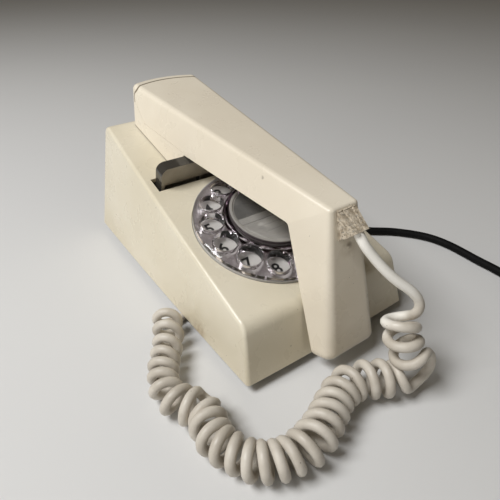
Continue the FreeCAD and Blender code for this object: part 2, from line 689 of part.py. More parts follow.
def governor_shaft():
    pinion = gear(GOVERNOR_TEETH, SHAFT_R / 2, WHEEL_LOW, WHEEL_TOP)
    shaft = rod(SHAFT_R, SHAFT_LOW, FRAME_TOP + CUP_HEIGHT - 1)
    return meshed(pinion.fuse(shaft), GOVERNOR_TEETH, GOVERNOR_PITCH_R, GOVERNOR_ANGLE)


def governor_weights():
    low = FRAME_TOP + 1
    high = FRAME_TOP + CUP_HEIGHT - 1.5
    reach = CUP_R - CUP_WALL - WEIGHT_GAP
    sector = ring(reach, reach - WEIGHT_THICK, low, high)
    sector = sector.common(box(-FAR, FAR, -reach * 0.6, reach * 0.6, low, high))
    arm_half = SHAFT_R + 0.8
    arm = box(1 - reach, reach - 1, -arm_half, arm_half, low + 1, high - 1)
    arm = arm.common(rod(reach - 1, low, high))
    whole = sector.fuse(arm).cut(rod(SHAFT_R, low - 1, high + 1))
    return meshed(whole, GOVERNOR_TEETH, GOVERNOR_PITCH_R, GOVERNOR_ANGLE)


def governor_cup():
    at = shaft_place(GOVERNOR_PITCH_R, GOVERNOR_ANGLE)
    return on_dial(ring(CUP_R, CUP_R - CUP_WALL, FRAME_TOP, FRAME_TOP + CUP_HEIGHT, *at))


def main_spring():
    low = SPRING_LOW
    outer = []
    inner = []
    r = SPRING_COLLAR_R
    for i in range(2 * SPRING_TURNS):
        side = 1 if i % 2 == 0 else -1
        far = r + SPRING_PITCH / 2
        centre = side * (r - far) / 2
        for edges, extra in ((inner, 0.0), (outer, SPRING_STRIP)):
            reach = (r + far) / 2 + extra
            edges.append(Part.Arc(V(centre + side * reach, 0, low), V(centre, side * reach, low),
                                  V(centre - side * reach, 0, low)).toShape())
        r = far
    return on_dial(Part.Face(spring_outline(inner, outer)).extrude(V(0, 0, SPRING_HEIGHT)))


def spring_outline(inner, outer):
    starts = [e.valueAt(e.FirstParameter) for e in (inner[0], outer[0])]
    ends = [e.valueAt(e.LastParameter) for e in (inner[-1], outer[-1])]
    first = Part.makeLine(*starts)
    last = Part.makeLine(*ends)
    return Part.Wire(Part.__sortEdges__(inner + outer + [first, last]))


def dial_frame():
    body = [rod(FRAME_R, FRAME_LOW, FRAME_TOP), rod(BEARING_R, BEARING_LOW, BEARING_TOP)]
    for angle in PILLAR_ANGLES:
        body.append(rod(PILLAR_R, FRAME_LOW, DIAL_BOSS_LOW, *polar(DIAL_SCREW_R, angle)))
    post_x = SPRING_COLLAR_R + SPRING_PITCH * SPRING_TURNS + SPRING_STRIP + SPRING_POST_R
    body.append(rod(SPRING_POST_R, FRAME_TOP, SPRING_TOP, post_x, 0))
    whole = fuse_all(body)
    cuts = [rod(SPINDLE_R + RUNNING_GAP, -FAR / 10, 0)]
    for pitch_r, angle in ((IMPULSE_PITCH_R, IMPULSE_ANGLE), (GOVERNOR_PITCH_R, GOVERNOR_ANGLE)):
        cuts.append(rod(SHAFT_R + RUNNING_GAP, -FAR / 10, 0, *shaft_place(pitch_r, angle)))
    for angle in PILLAR_ANGLES:
        cuts.append(rod(SCREW_R + SCREW_GAP, -FAR / 10, 0, *polar(DIAL_SCREW_R, angle)))
    return on_dial(whole.cut(cuts))


def dial_screws():
    one = screw(FRAME_LOW - SCREW_HEAD_H, DIAL_BOSS_LOW + BOSS_DROP - FRAME_LOW + SCREW_HEAD_H)
    return Part.makeCompound([on_dial(one.translated(V(*polar(DIAL_SCREW_R, a), 0))) for a in PILLAR_ANGLES])


def pulse_contacts():
    near = CAM_R + CONTACT_GAP
    block = box(near - 1, near + 4, CAM_R + 3, CAM_R + 8, CAM_LOW, FRAME_LOW)
    leaves = [box(near + 2 * i, near + 2 * i + 0.5, -3, CAM_R + 4, CAM_LOW, CAM_TOP)
              for i in range(2)]
    pile = fuse_all([block] + leaves)
    pile.translate(V(WHEEL_PITCH_R + IMPULSE_PITCH_R, 0, 0))
    pile.rotate(V(0, 0, 0), V(0, 0, 1), IMPULSE_ANGLE)
    return on_dial(pile)


# Hook
def hook_bar():
    y0 = SLOT_MID - BAR_THICK / 2
    y1 = y0 + BAR_THICK
    block = box(-BAR_HALF_X, BAR_HALF_X, y0, y1, BAR_LOW, BAR_TOP)
    ends = edges_at(block, lambda p, e: p.z > BAR_TOP - 1 and abs(p.x) > BAR_HALF_X - 1)
    block = block.makeFillet(BAR_CORNER_R, ends)
    pocket = box(-BAR_HALF_X + BAR_WALL, BAR_HALF_X - BAR_WALL, y0 - 1, y1 - BAR_WALL,
                 BAR_LOW + BAR_WALL, BAR_TOP - BAR_WALL)
    half = BAR_RIB_THICK / 2
    ribs = [box(x - half, x + half, y0 + BAR_WALL, y1, BAR_LOW, BAR_TOP - 1)
            for x in (-BAR_RIB_X, BAR_RIB_X)]
    return on_top(block.cut(pocket).fuse(ribs).removeSplitter())


def hook_carrier():
    half_x = SLOT_HALF_X - GUIDE_GAP
    y0 = SLOT_FRONT + GUIDE_GAP
    y1 = SLOT_REAR - GUIDE_GAP
    return on_top(box(-half_x, half_x, y0, y1, CARRIER_LOW, BAR_LOW))


def hook_guide():
    y0 = SLOT_FRONT
    y1 = SLOT_REAR
    outer = box(-SLOT_HALF_X - GUIDE_WALL, SLOT_HALF_X + GUIDE_WALL, y0 - GUIDE_WALL, y1 + GUIDE_WALL,
                GUIDE_LOW, -CASE_WALL)
    inner = box(-SLOT_HALF_X, SLOT_HALF_X, y0, y1, GUIDE_FLOOR, 0)
    return on_top(outer.cut(inner))


def hook_spring():
    low = GUIDE_FLOOR
    rise = CARRIER_LOW - low - HOOK_SPRING_GAP
    span = 0.7 * SLOT_HALF_X
    bottom = Part.Arc(V(-span, 0, low), V(0, 0, low + rise - HOOK_SPRING_THICK), V(span, 0, low)).toShape()
    top = Part.Arc(V(span, 0, low + HOOK_SPRING_THICK), V(0, 0, low + rise),
                   V(-span, 0, low + HOOK_SPRING_THICK)).toShape()
    ends = [Part.makeLine(V(span, 0, low), V(span, 0, low + HOOK_SPRING_THICK)),
            Part.makeLine(V(-span, 0, low + HOOK_SPRING_THICK), V(-span, 0, low))]
    leaf = Part.Face(Part.Wire([bottom, ends[0], top, ends[1]])).extrude(V(0, 0.6 * SLOT_DEPTH, 0))
    return on_top(leaf.translated(V(0, SLOT_FRONT + 0.2 * SLOT_DEPTH, 0)))


def hook_contacts():
    y = SLOT_REAR + GUIDE_WALL
    block = box(-12, 12, y, y + 5, GUIDE_LOW, GUIDE_LOW + 7)
    leaves = [box(-9 + 6 * i, -6 + 6 * i, y + 1 + 1.2 * i, y + 1.6 + 1.2 * i, GUIDE_LOW - 8, GUIDE_LOW)
              for i in range(3)]
    return on_top(fuse_all([block] + leaves))


# Handset
def half_plane(points):
    """The side face x = a + b y + c z through three points given as (half width, (y, z))."""
    (h0, p0), (h1, p1), (h2, p2) = points
    det = (p1[0] - p0[0]) * (p2[1] - p0[1]) - (p2[0] - p0[0]) * (p1[1] - p0[1])
    b = ((h1 - h0) * (p2[1] - p0[1]) - (h2 - h0) * (p1[1] - p0[1])) / det
    c = ((p1[0] - p0[0]) * (h2 - h0) - (p2[0] - p0[0]) * (h1 - h0)) / det
    return lambda y, z: h0 + b * (y - p0[0]) + c * (z - p0[1])


HAND_REAR_TOP = top_point(TOP_LENGTH + HAND_OVERHANG, HAND_REAR_LIFT)
HAND_ELBOW = top_point(*ELBOW_AT)
HAND_TIP_OUT = top_point(*TIP_OUT_AT)
HAND_TIP_IN = top_point(*TIP_IN_AT)
HAND_INNER_CORNER = top_point(*INNER_CORNER_AT)
HAND_UNDER_EAR = top_point(*UNDER_EAR_AT)
SEAM_BEND = top_point(EAR_REAR - SEAM_BEND_BACK, SEAM_BEND_LIFT)
SEAM_FRONT = top_point(EAR_FRONT - SEAM_FRONT_BACK, SEAM_FRONT_LIFT)
EAR_FRONT_LOW = top_point(EAR_FRONT, EAR_CLEAR)
EAR_REAR_LOW = top_point(EAR_REAR, EAR_CLEAR)
ARM_HALF = half_plane(((HALF_REAR_TOP, HAND_REAR_TOP), (HALF_ELBOW, HAND_ELBOW),
                       (HALF_INNER_CORNER, HAND_INNER_CORNER)))
LEG_HALF = half_plane(((HALF_TIP_OUT, HAND_TIP_OUT), (HALF_ELBOW, HAND_ELBOW),
                       (HALF_INNER_CORNER, HAND_INNER_CORNER)))


def tapered(profile, half):
    """A solid whose side view is the profile and whose half width at each corner is half(y, z)."""
    left = [V(-half(y, z), y, z) for y, z in profile]
    right = [V(half(y, z), y, z) for y, z in profile]
    count = len(profile)
    faces = [Part.Face(Part.makePolygon(left + left[:1])), Part.Face(Part.makePolygon(right + right[:1]))]
    for i in range(count):
        j = (i + 1) % count
        faces.append(Part.Face(Part.makePolygon([left[i], left[j], right[j], right[i], left[i]])))
    solid = Part.Solid(Part.Shell(faces))
    return solid if solid.Volume > 0 else solid.reversed()


def hand_section(outer, inner, half, corner):
    """A trapezium across the handset, from its outer edge to its inner one, with rounded outer corners."""
    a = V(half(*outer), *outer)
    b = V(half(*inner), *inner)
    along = V(-1, 0, 0)
    down = (b - a).normalize()
    angle = along.getAngle(down)
    trim = corner / math.tan(angle / 2)
    inward = (along + down).normalize()
    crown = a + inward * (corner / math.sin(angle / 2) - corner)
    right = [a + along * trim, crown, a + down * trim, b]
    left = [V(-p.x, p.y, p.z) for p in right]
    edges = [Part.makeLine(left[0], right[0]), Part.Arc(right[0], right[1], right[2]).toShape(),
             Part.makeLine(right[2], right[3]), Part.makeLine(right[3], left[3]),
             Part.makeLine(left[3], left[2]), Part.Arc(left[2], left[1], left[0]).toShape()]
    return Part.Wire(edges)


def beyond(p, q, share):
    return p[0] + (p[0] - q[0]) * share, p[1] + (p[1] - q[1]) * share


def end_point(lift):
    """A point of the rear end's line in side view, before it is bowed."""
    share = (lift - EAR_CLEAR) / (HAND_REAR_LIFT - EAR_CLEAR)
    return top_point(EAR_REAR + (TOP_LENGTH + HAND_OVERHANG - EAR_REAR) * share, lift)


REAR_BOW_R = ARM_HALF(*EAR_REAR_LOW) ** 2 / (2 * HAND_REAR_BOW)


def bow_at(x):
    """How far the bowed rear end stands behind its line, off the middle by x."""
    return HAND_REAR_BOW / 2 - REAR_BOW_R + math.sqrt(REAR_BOW_R ** 2 - x ** 2)


def behind_bow(back):
    """The space behind the bowed rear end, set back by a distance."""
    end = V(0, EAR_REAR_LOW[0] - HAND_REAR_TOP[0], EAR_REAR_LOW[1] - HAND_REAR_TOP[1])
    out = V(0, -end.z, end.y).normalize()
    base = V(0, *HAND_REAR_TOP) + out * (HAND_REAR_BOW / 2 - REAR_BOW_R + back) - end * 3
    block = box(-FAR / 4, FAR / 4, SEAM_BEND[0], FAR, EAR_FRONT_LOW[1] - 20, HAND_REAR_TOP[1] + 8)
    return block.cut(Part.makeCylinder(REAR_BOW_R, end.Length * 6, base, end))


SEAM_SIDE = end_point(SEAM_MID_LIFT)
SEAM_MID = (SEAM_SIDE[0] + bow_at(ARM_HALF(*SEAM_SIDE)) - SEAM_LIP, SEAM_SIDE[1])


def arm_body():
    reach = 0.05
    rear_top = beyond(HAND_REAR_TOP, HAND_ELBOW, reach)
    rear_low = (EAR_REAR_LOW[0] + rear_top[0] - HAND_REAR_TOP[0] - 3, EAR_REAR_LOW[1] - 20)
    arm = Part.makeLoft([hand_section(HAND_ELBOW, HAND_INNER_CORNER, ARM_HALF, HAND_ELBOW_R),
                         hand_section(rear_top, rear_low, ARM_HALF, HAND_EDGE_R)], True, True)
    below = EAR_FRONT_LOW[1] - 60
    under = (HAND_INNER_CORNER, HAND_UNDER_EAR, EAR_FRONT_LOW, beyond(EAR_REAR_LOW, EAR_FRONT_LOW, 0.5),
             (EAR_REAR_LOW[0] + 30, below), (HAND_INNER_CORNER[0], below))
    return arm.cut(side_prism(under, FAR / 4)).cut(behind_bow(0.0))


def inner_web():
    """Fills the corner under the arm with a hollow round."""
    corner = V(0, *HAND_INNER_CORNER)
    arm = (V(0, *HAND_UNDER_EAR) - corner).normalize()
    leg = (V(0, *HAND_TIP_IN) - corner).normalize()
    angle = arm.getAngle(leg)
    trim = HAND_INNER_R / math.tan(angle / 2)
    middle = corner + (arm + leg).normalize() * (HAND_INNER_R / math.sin(angle / 2) - HAND_INNER_R)
    ends = (corner + arm * trim, corner + leg * trim)
    wire = Part.Wire([Part.makeLine(corner, ends[0]), Part.Arc(ends[0], middle, ends[1]).toShape(),
                      Part.makeLine(ends[1], corner)])
    web = Part.Face(wire).extrude(V(FAR / 4, 0, 0)).translated(V(-FAR / 8, 0, 0))
    y, z = HAND_INNER_CORNER
    around = ((y - 12, z - 12), (y + 12, z - 12), (y + 12, z + 12), (y - 12, z + 12))
    return web.common(tapered(around, ARM_HALF)).common(tapered(around, LEG_HALF))


def on_mitre(p):
    (y0, z0), (y1, z1) = HAND_ELBOW, HAND_INNER_CORNER
    off = abs((p.y - y0) * (z1 - z0) - (p.z - z0) * (y1 - y0)) / math.hypot(y1 - y0, z1 - z0)
    return off < 0.05 and p.z > z1 + 1


def handset_outside():
    leg = Part.makeLoft([hand_section(HAND_ELBOW, HAND_INNER_CORNER, LEG_HALF, HAND_ELBOW_R),
                         hand_section(HAND_TIP_OUT, HAND_TIP_IN, LEG_HALF, HAND_TIP_EDGE_R)], True, True)
    body = arm_body().fuse(leg).removeSplitter()
    body = body.makeFillet(HAND_MITRE_R, edges_at(body, lambda p, e: on_mitre(p)))
    rear_y = EAR_REAR_LOW[0] - HAND_REAR_BOW
    rear_z = EAR_REAR_LOW[1] + 1.2
    rear = edges_at(body, lambda p, e: p.y > rear_y and p.z > rear_z and e.Length > 0.5)
    body = body.makeFillet(HAND_REAR_R, rear)
    tip = edges_at(body, lambda p, e: abs(p.x) < 1 and p.z < HAND_TIP_OUT[1] + 1)
    body = body.makeFillet(HAND_TIP_R, tip)
    return body.fuse(inner_web())


def cover_space(gap):
    """The space of the earpiece cover: behind a bowed lip seam and below the seam along the side."""
    middle = (SEAM_MID[0] + gap, SEAM_MID[1] - gap)
    bend = (SEAM_BEND[0] + gap, SEAM_BEND[1] - gap)
    front = (SEAM_FRONT[0], SEAM_FRONT[1] - gap)
    under = (HAND_UNDER_EAR[0] - 12, SEAM_FRONT[1] - gap - 3)
    low = (HAND_UNDER_EAR[0] - 12, EAR_FRONT_LOW[1] - 20)
    profile = (middle, bend, front, under, low, (FAR, low[1]), (FAR, middle[1]))
    below = side_prism(profile, FAR / 4)
    lip = behind_bow(gap - SEAM_LIP).common(box(-FAR, FAR, -FAR, FAR, middle[1], FAR))
    return below.fuse(lip)


def capsule_place():
    """The receiver's frame: its axis square to the flat run of the seam, +Z into the shell."""
    (y0, z0), (y1, z1) = SEAM_FRONT, SEAM_BEND
    tilt = math.degrees(math.atan2(z1 - z0, y1 - y0))
    z = z0 + CAPSULE_BACK * (z1 - z0) / (y1 - y0)
    return FreeCAD.Placement(V(0, y0 + CAPSULE_BACK, z), FreeCAD.Rotation(V(1, 0, 0), tilt))


def at_capsule(shape):
    placed = shape.copy()
    placed.Placement = capsule_place().multiply(placed.Placement)
    return placed


def mouth_place():
    """The transmitter's frame on the leg's inner face, +Z out of that face."""
    (y0, z0), (y1, z1) = HAND_TIP_IN, HAND_INNER_CORNER
    length = math.hypot(y1 - y0, z1 - z0)
    share = MOUTH_FROM_TIP / length
    tilt = math.degrees(math.atan2(z1 - z0, y1 - y0)) - 90
    lean = FreeCAD.Rotation(V(1, 0, 0), tilt).multiply(FreeCAD.Rotation(V(1, 0, 0), -90))
    return FreeCAD.Placement(V(0, y0 + (y1 - y0) * share, z0 + (z1 - z0) * share), lean)


def at_mouth(shape):
    placed = shape.copy()
    placed.Placement = mouth_place().multiply(placed.Placement)
    return placed


def relief_end():
    """The upper and lower edge of the strain relief's end face in side view."""
    reach = RELIEF_REACH / math.sqrt(2)
    y = HAND_ELBOW[0] - reach
    z = HAND_ELBOW[1] - reach
    half = RELIEF_END / 2 / math.sqrt(2)
    return (y - half, z + half), (y + half, z - half)


def relief_block(grow):
    """The strain relief: a root set into the elbow, and a wedge that tapers forward and down out of it."""
    y, z = HAND_ELBOW
    lean = (HAND_ELBOW[0] - HAND_TIP_OUT[0]) / (HAND_ELBOW[1] - HAND_TIP_OUT[1])
    face_y = y - lean * RELIEF_BASE
    low_z = z - RELIEF_BASE
    top_z = z - HAND_MITRE_R / 2
    sunk = y + RELIEF_SUNK + grow
    root = ((sunk, top_z - 1 + grow), (y - 1.5, top_z), (face_y - 0.4, low_z - grow), (sunk, low_z - grow))
    upper, lower = relief_end()
    nose = ((y - 1, top_z), upper, lower, (face_y + 0.2, low_z))
    half_base = RELIEF_HALF_BASE + grow
    taper = (RELIEF_HALF_BASE - RELIEF_HALF_TIP) / (y - 1 - upper[0])
    root_solid = tapered(root, lambda a, b: half_base)
    nose_solid = tapered(nose, lambda a, b: RELIEF_HALF_BASE - taper * max(0.0, y - 1 - a))
    return root_solid, nose_solid


def relief_grooves():
    """Two round grooves that run down the strain relief's upper face and close up towards its end."""
    upper = relief_end()[0]
    grooves = []
    for side in (-1, 1):
        start = V(side * RELIEF_HALF_BASE * 0.5, HAND_ELBOW[0] - 1, HAND_ELBOW[1] - HAND_MITRE_R / 2)
        stop = V(side * RELIEF_HALF_TIP * 0.3, *upper)
        grooves.append(Part.makeCylinder(RELIEF_GROOVE, (stop - start).Length + 4, start, stop - start))
    return grooves


def handset_screw_places():
    return (-CAPSULE_R - SCREW_HEAD_R - 0.5, CAPSULE_R + SCREW_HEAD_R + 0.5)


def handset_shell():
    body = handset_outside()
    cuts = list(relief_block(0.0)) + [cover_space(0.0)]
    cuts.append(at_capsule(rod(CAPSULE_R + CAPSULE_GAP, -1, CAPSULE_HEIGHT)))
    cuts.append(at_mouth(rod(MOUTH_R + CAPSULE_GAP, -MOUTH_DEPTH, 1)))
    for y in handset_screw_places():
        cuts.append(at_capsule(rod(SCREW_R + SCREW_GAP, -1, 5, 0, y)))
    return body.cut(cuts).removeSplitter()


def ear_pad_size(gap):
    half = WELL_HALF_X - EAR_PAD_GAP + gap
    return half, WELL_FRONT + EAR_PAD_GAP - gap, WELL_REAR - EAR_PAD_GAP + gap


def earpiece_cover():
    body = handset_outside().common(cover_space(SEAM_GAP))
    half, y0, y1 = ear_pad_size(0.0)
    pad = rounded_plate(half, y0, y1, -EAR_PAD_DROP, EAR_CLEAR + 1, WELL_CORNER_R - EAR_PAD_GAP)
    body = body.fuse(on_top(pad))
    cuts = [at_capsule(rod(CAPSULE_R - GASKET_THICK, -EAR_HOLLOW, 1))]
    rings = ((0.0, 1), (EAR_HOLE_RING_R, EAR_HOLE_COUNT), (EAR_HOLE_OUTER_R, EAR_HOLE_OUTER_COUNT))
    for r, count in rings:
        for i in range(count):
            cuts.append(at_capsule(rod(EAR_HOLE_R, -FAR / 10, 0, *polar(r, 360 * i / count))))
    for y in handset_screw_places():
        cuts.append(at_capsule(rod(SCREW_R + SCREW_GAP, -FAR / 10, 1, 0, y)))
        cuts.append(at_capsule(rod(SCREW_HEAD_R + SCREW_GAP, -FAR / 10, -3.5, 0, y)))
    return body.cut(cuts).removeSplitter()


def receiver_capsule():
    low = GASKET_THICK
    body = [rod(CAPSULE_R, low, low + CAPSULE_FLANGE),
            rod(CAPSULE_R - CAPSULE_FLANGE, low, CAPSULE_HEIGHT - CAPSULE_GAP)]
    return at_capsule(fuse_all(body))


def receiver_gasket():
    return at_capsule(ring(CAPSULE_R, CAPSULE_R - GASKET_WIDTH, 0, GASKET_THICK))


def transmitter_capsule():
    return at_mouth(rod(MOUTH_R, -MOUTH_DEPTH + GRILLE_SUNK, -GRILLE_THICK - GRILLE_SUNK))


def mouthpiece_grille():
    disc = rod(MOUTH_R, -GRILLE_THICK - GRILLE_SUNK, -GRILLE_SUNK)
    holes = [rod(GRILLE_HOLE_R, -MOUTH_DEPTH, 1, *polar(GRILLE_CIRCLE_R * (i > 0), 60 * i))
             for i in range(7)]
    return at_mouth(disc.cut(holes))


def cord_strain_relief():
    root, nose = relief_block(-RELIEF_GAP)
    return root.fuse(nose).cut(relief_grooves()).removeSplitter()


def handset_screws():
    one = screw(-3.5 - SCREW_HEAD_H, 7.5 + SCREW_HEAD_H)
    return Part.makeCompound([at_capsule(one.translated(V(0, y, 0))) for y in handset_screw_places()])


# Circuit and sounder
def circuit_board():
    board = box(-BOARD_HALF_X, BOARD_HALF_X, BOARD_FRONT, BOARD_REAR, BOARD_LOW, BOARD_TOP)
    holes = [rod(SCREW_R, 0, FAR, x, y) for x, y in standoff_places()]
    return board.cut(holes)


def transformer_core():
    w, d, h = CORE_SIZE
    x, y = CORE_X, CORE_Y
    low = BOARD_TOP
    block = box(x - w / 2, x + w / 2, y - d / 2, y + d / 2, low, low + h)
    window = (w - 3 * CORE_LIMB) / 2
    cuts = []
    for side in (-1, 1):
        x0 = x + side * CORE_LIMB / 2
        x1 = x0 + side * window
        cuts.append(box(min(x0, x1), max(x0, x1), y - d, y + d, low + CORE_LIMB, low + h - CORE_LIMB))
    return block.cut(cuts)


def transformer_winding():
    w, d, h = CORE_SIZE
    x, y = CORE_X, CORE_Y
    low = BOARD_TOP + CORE_LIMB
    high = low + h - 2 * CORE_LIMB
    window = (w - 3 * CORE_LIMB) / 2
    outer = rounded_plate(CORE_LIMB / 2 + window, -d / 2 - window, d / 2 + window, low, high, window)
    hole = box(-CORE_LIMB / 2, CORE_LIMB / 2, -d / 2, d / 2, low - 1, high + 1)
    return outer.cut(hole).translated(V(x, y, 0))


def capacitors():
    low = BOARD_TOP
    profile = ((0, low), (CAPACITOR_R, low), (CAPACITOR_R, low + CAPACITOR_H - 1),
               (CAPACITOR_R - 1, low + CAPACITOR_H), (0, low + CAPACITOR_H))
    can = revolve(profile)
    return Part.makeCompound([can.translated(V(x, CAPACITOR_Y, 0)) for x in CAPACITOR_XS])


def terminal_places():
    w, d, h = TERMINAL_SIZE
    pitch = w / TERMINAL_COUNT
    return [(i - (TERMINAL_COUNT - 1) / 2) * pitch for i in range(TERMINAL_COUNT)]


def terminal_block():
    w, d, h = TERMINAL_SIZE
    x, y = 0.0, TERMINAL_Y
    low = BOARD_TOP
    block = box(x - w / 2, x + w / 2, y - d / 2, y + d / 2, low, low + h)
    holes = [rod(SCREW_R + SCREW_GAP, low + 2, low + h + 1, px, y) for px in terminal_places()]
    step = box(x - w / 2 - 1, x + w / 2 + 1, y - d / 2 - 1, y - d / 4, low + h / 2, low + h + 1)
    return block.cut(holes + [step])


def terminal_screws():
    top = BOARD_TOP + TERMINAL_SIZE[2]
    head = rod(SCREW_HEAD_R, top, top + SCREW_HEAD_H)
    one = fuse_all([head, rod(SCREW_R, top - TERMINAL_SCREW, top + SCREW_HEAD_H)])
    return Part.makeCompound([one.translated(V(px, TERMINAL_Y, 0)) for px in terminal_places()])


def tone_sounder():
    top = PLATE_TOP + SOUNDER_H
    mouth = SOUNDER_R - SOUNDER_WALL
    profile = ((0, PLATE_TOP + SOUNDER_WALL), (mouth, PLATE_TOP + SOUNDER_WALL), (mouth, PLATE_TOP),
               (SOUNDER_R, PLATE_TOP), (SOUNDER_R, top - SOUNDER_WALL), (mouth, top), (0, top))
    return revolve(profile).translated(V(0, SOUNDER_Y, 0))


def sounder_clip():
    top = PLATE_TOP + SOUNDER_H
    leg = SOUNDER_R + CLIP_GAP
    out = leg + CLIP_THICK
    profile = ((-out - CLIP_FOOT, PLATE_TOP), (-leg, PLATE_TOP), (-leg, top), (leg, top), (leg, PLATE_TOP),
               (out + CLIP_FOOT, PLATE_TOP), (out + CLIP_FOOT, PLATE_TOP + CLIP_THICK),
               (out, PLATE_TOP + CLIP_THICK),
               (out, top + CLIP_THICK), (-out, top + CLIP_THICK), (-out, PLATE_TOP + CLIP_THICK),
               (-out - CLIP_FOOT, PLATE_TOP + CLIP_THICK))
    half = CLIP_WIDTH / 2
    return prism([(x, SOUNDER_Y - half, z) for x, z in profile], V(0, CLIP_WIDTH, 0))


def volume_slider():
    neck = SLIDER_NECK / 2
    under = PLATE_BOTTOM - SLIDER_PLAY
    over = PLATE_TOP + SLIDER_PLAY
    knob = box(-neck - 1.5, neck + 1.5, -neck - 2, neck + 2, under - SLIDER_PROUD, under)
    stem = box(-neck, neck, -neck, neck, under, over)
    head = box(-neck - 2.5, neck + 2.5, -neck - 2, neck + 2, over, over + SLIDER_PROUD)
    return fuse_all([knob, stem, head]).translated(V(SLIDER_X, SOUNDER_Y, 0))


# Cords
def tube(points, diameter, name):
    """A round tube on straight runs joined by tangent arcs, each as large as its two runs allow."""
    stops = [V(*p) for p in points]
    edges = []
    radii = []
    start = stops[0]
    for i in range(1, len(stops) - 1):
        before = stops[i] - stops[i - 1]
        after = stops[i + 1] - stops[i]
        turn = before.getAngle(after)
        cut = 0.45 * min(before.Length, after.Length)
        radii.append(cut / math.tan(turn / 2))
        arc_in = stops[i] - before.normalize() * cut
        arc_out = stops[i] + after.normalize() * cut
        inward = (arc_in + arc_out) * 0.5 - stops[i]
        to_centre = math.hypot(radii[-1], cut)
        middle = stops[i] + inward.normalize() * (to_centre - radii[-1])
        edges.append(Part.makeLine(start, arc_in))
        edges.append(Part.Arc(arc_in, middle, arc_out).toShape())
        start = arc_out
    edges.append(Part.makeLine(start, stops[-1]))
    path = Part.Wire(edges)
    section = Part.Wire([Part.makeCircle(diameter / 2, stops[0], stops[1] - stops[0])])
    solid = path.makePipeShell([section], True, False, 2)
    expected = math.pi * diameter ** 2 / 4 * path.Length
    print(name, "length %.1f" % path.Length, "volume ratio %.4f" % (solid.Volume / expected),
          "radii", [round(r, 1) for r in radii])
    return solid


def relief_tip():
    """The middle of the strain relief's end face, a little off it, and the way that face looks."""
    upper, lower = relief_end()
    out = V(0, lower[1] - upper[1], upper[0] - lower[0]).normalize()
    middle = V(0, (upper[0] + lower[0]) / 2, (upper[1] + lower[1]) / 2)
    return tuple(middle + out * CORD_GAP), tuple(middle + out * (HAND_WIRE_D + CORD_GAP))


def handset_cord_tail():
    return tube(relief_tip() + HAND_TAIL_POINTS, HAND_WIRE_D, "handset_cord_tail")


def handset_cord_curl():
    return tube(CURL_POINTS, CURL_D, "handset_cord_curl")


def handset_cord_base_tail():
    return tube(BASE_TAIL_POINTS + (HAND_GLAND_TIP,), HAND_WIRE_D, "handset_cord_base_tail")


def handset_cord_gland():
    x, y, z = HAND_GLAND_TIP
    half = HAND_GLAND_WIDTH / 2
    block = box(x, x + HAND_GLAND_LENGTH, y - half, y + half, 0.5, PLATE_TOP)
    wide = half + HAND_GLAND_FLANGE
    flange = box(x, x + HAND_GLAND_LENGTH + HAND_GLAND_FLANGE, y - wide, y + wide,
                 PLATE_TOP, PLATE_TOP + HAND_GLAND_FLANGE)
    return fuse_all([block, flange])


def line_gland_wall():
    return HALF_LENGTH - REAR_LEAN * (LINE_GLAND_Z - CASE_BOTTOM) + FRONT_BOW


def line_gland_clear():
    """How far the gland's flat flanges stand off the leaning, bowed wall."""
    return REAR_LEAN * (LINE_NECK_R + LINE_FLANGE) + LINE_FLANGE_GAP


def line_cord_gland():
    wall = line_gland_wall()
    flange = LINE_NECK_R + LINE_FLANGE
    inner = wall - CASE_WALL - line_gland_clear()
    outer = wall + line_gland_clear()
    neck = LINE_NECK_R - LINE_NECK_GAP
    tip = outer + LINE_GLAND_TAIL
    face_in = inner - LINE_FLANGE_THICK
    face_out = outer + LINE_FLANGE_THICK
    profile = ((0, face_in), (flange, face_in), (flange, inner), (neck, inner), (neck, outer),
               (flange, outer), (flange, face_out), (LINE_NECK_R, face_out + LINE_FLANGE_GAP),
               (LINE_D / 2 + LINE_TIP_WALL, tip), (0, tip))
    corners = [V(r, y, 0) for r, y in profile]
    face = Part.Face(Part.makePolygon(corners + corners[:1]))
    body = face.revolve(V(0, 0, 0), V(0, 1, 0), 360)
    return body.translated(V(LINE_GLAND_X, 0, LINE_GLAND_Z))


def line_cord():
    start = (LINE_GLAND_X, line_gland_wall() + line_gland_clear() + LINE_GLAND_TAIL, LINE_GLAND_Z)
    return tube((start,) + LINE_POINTS, LINE_D, "line_cord")


def coil_band():
    return COIL_MID_R - COIL_WIDE * LINE_D / 2, COIL_MID_R + COIL_WIDE * LINE_D / 2


def line_cord_coil():
    r_in, r_out = coil_band()
    return ring(r_out, r_in, COIL_LOW, COIL_LOW + COIL_HIGH * LINE_D, *COIL_CENTRE)


def line_cord_tie():
    r_in, r_out = coil_band()
    high = COIL_LOW + COIL_HIGH * LINE_D
    half = TIE_WIDTH / 2
    x0, x1 = r_in - TIE_GAP, r_out + TIE_GAP
    outer = box(x0 - TIE_THICK, x1 + TIE_THICK, -half, half, COIL_LOW - TIE_THICK, high + TIE_THICK)
    inner = box(x0, x1, -half - 1, half + 1, COIL_LOW, high)
    band = outer.cut(inner)
    band.rotate(V(0, 0, 0), V(0, 0, 1), TIE_ANGLE)
    return band.translated(V(*COIL_CENTRE, 0))


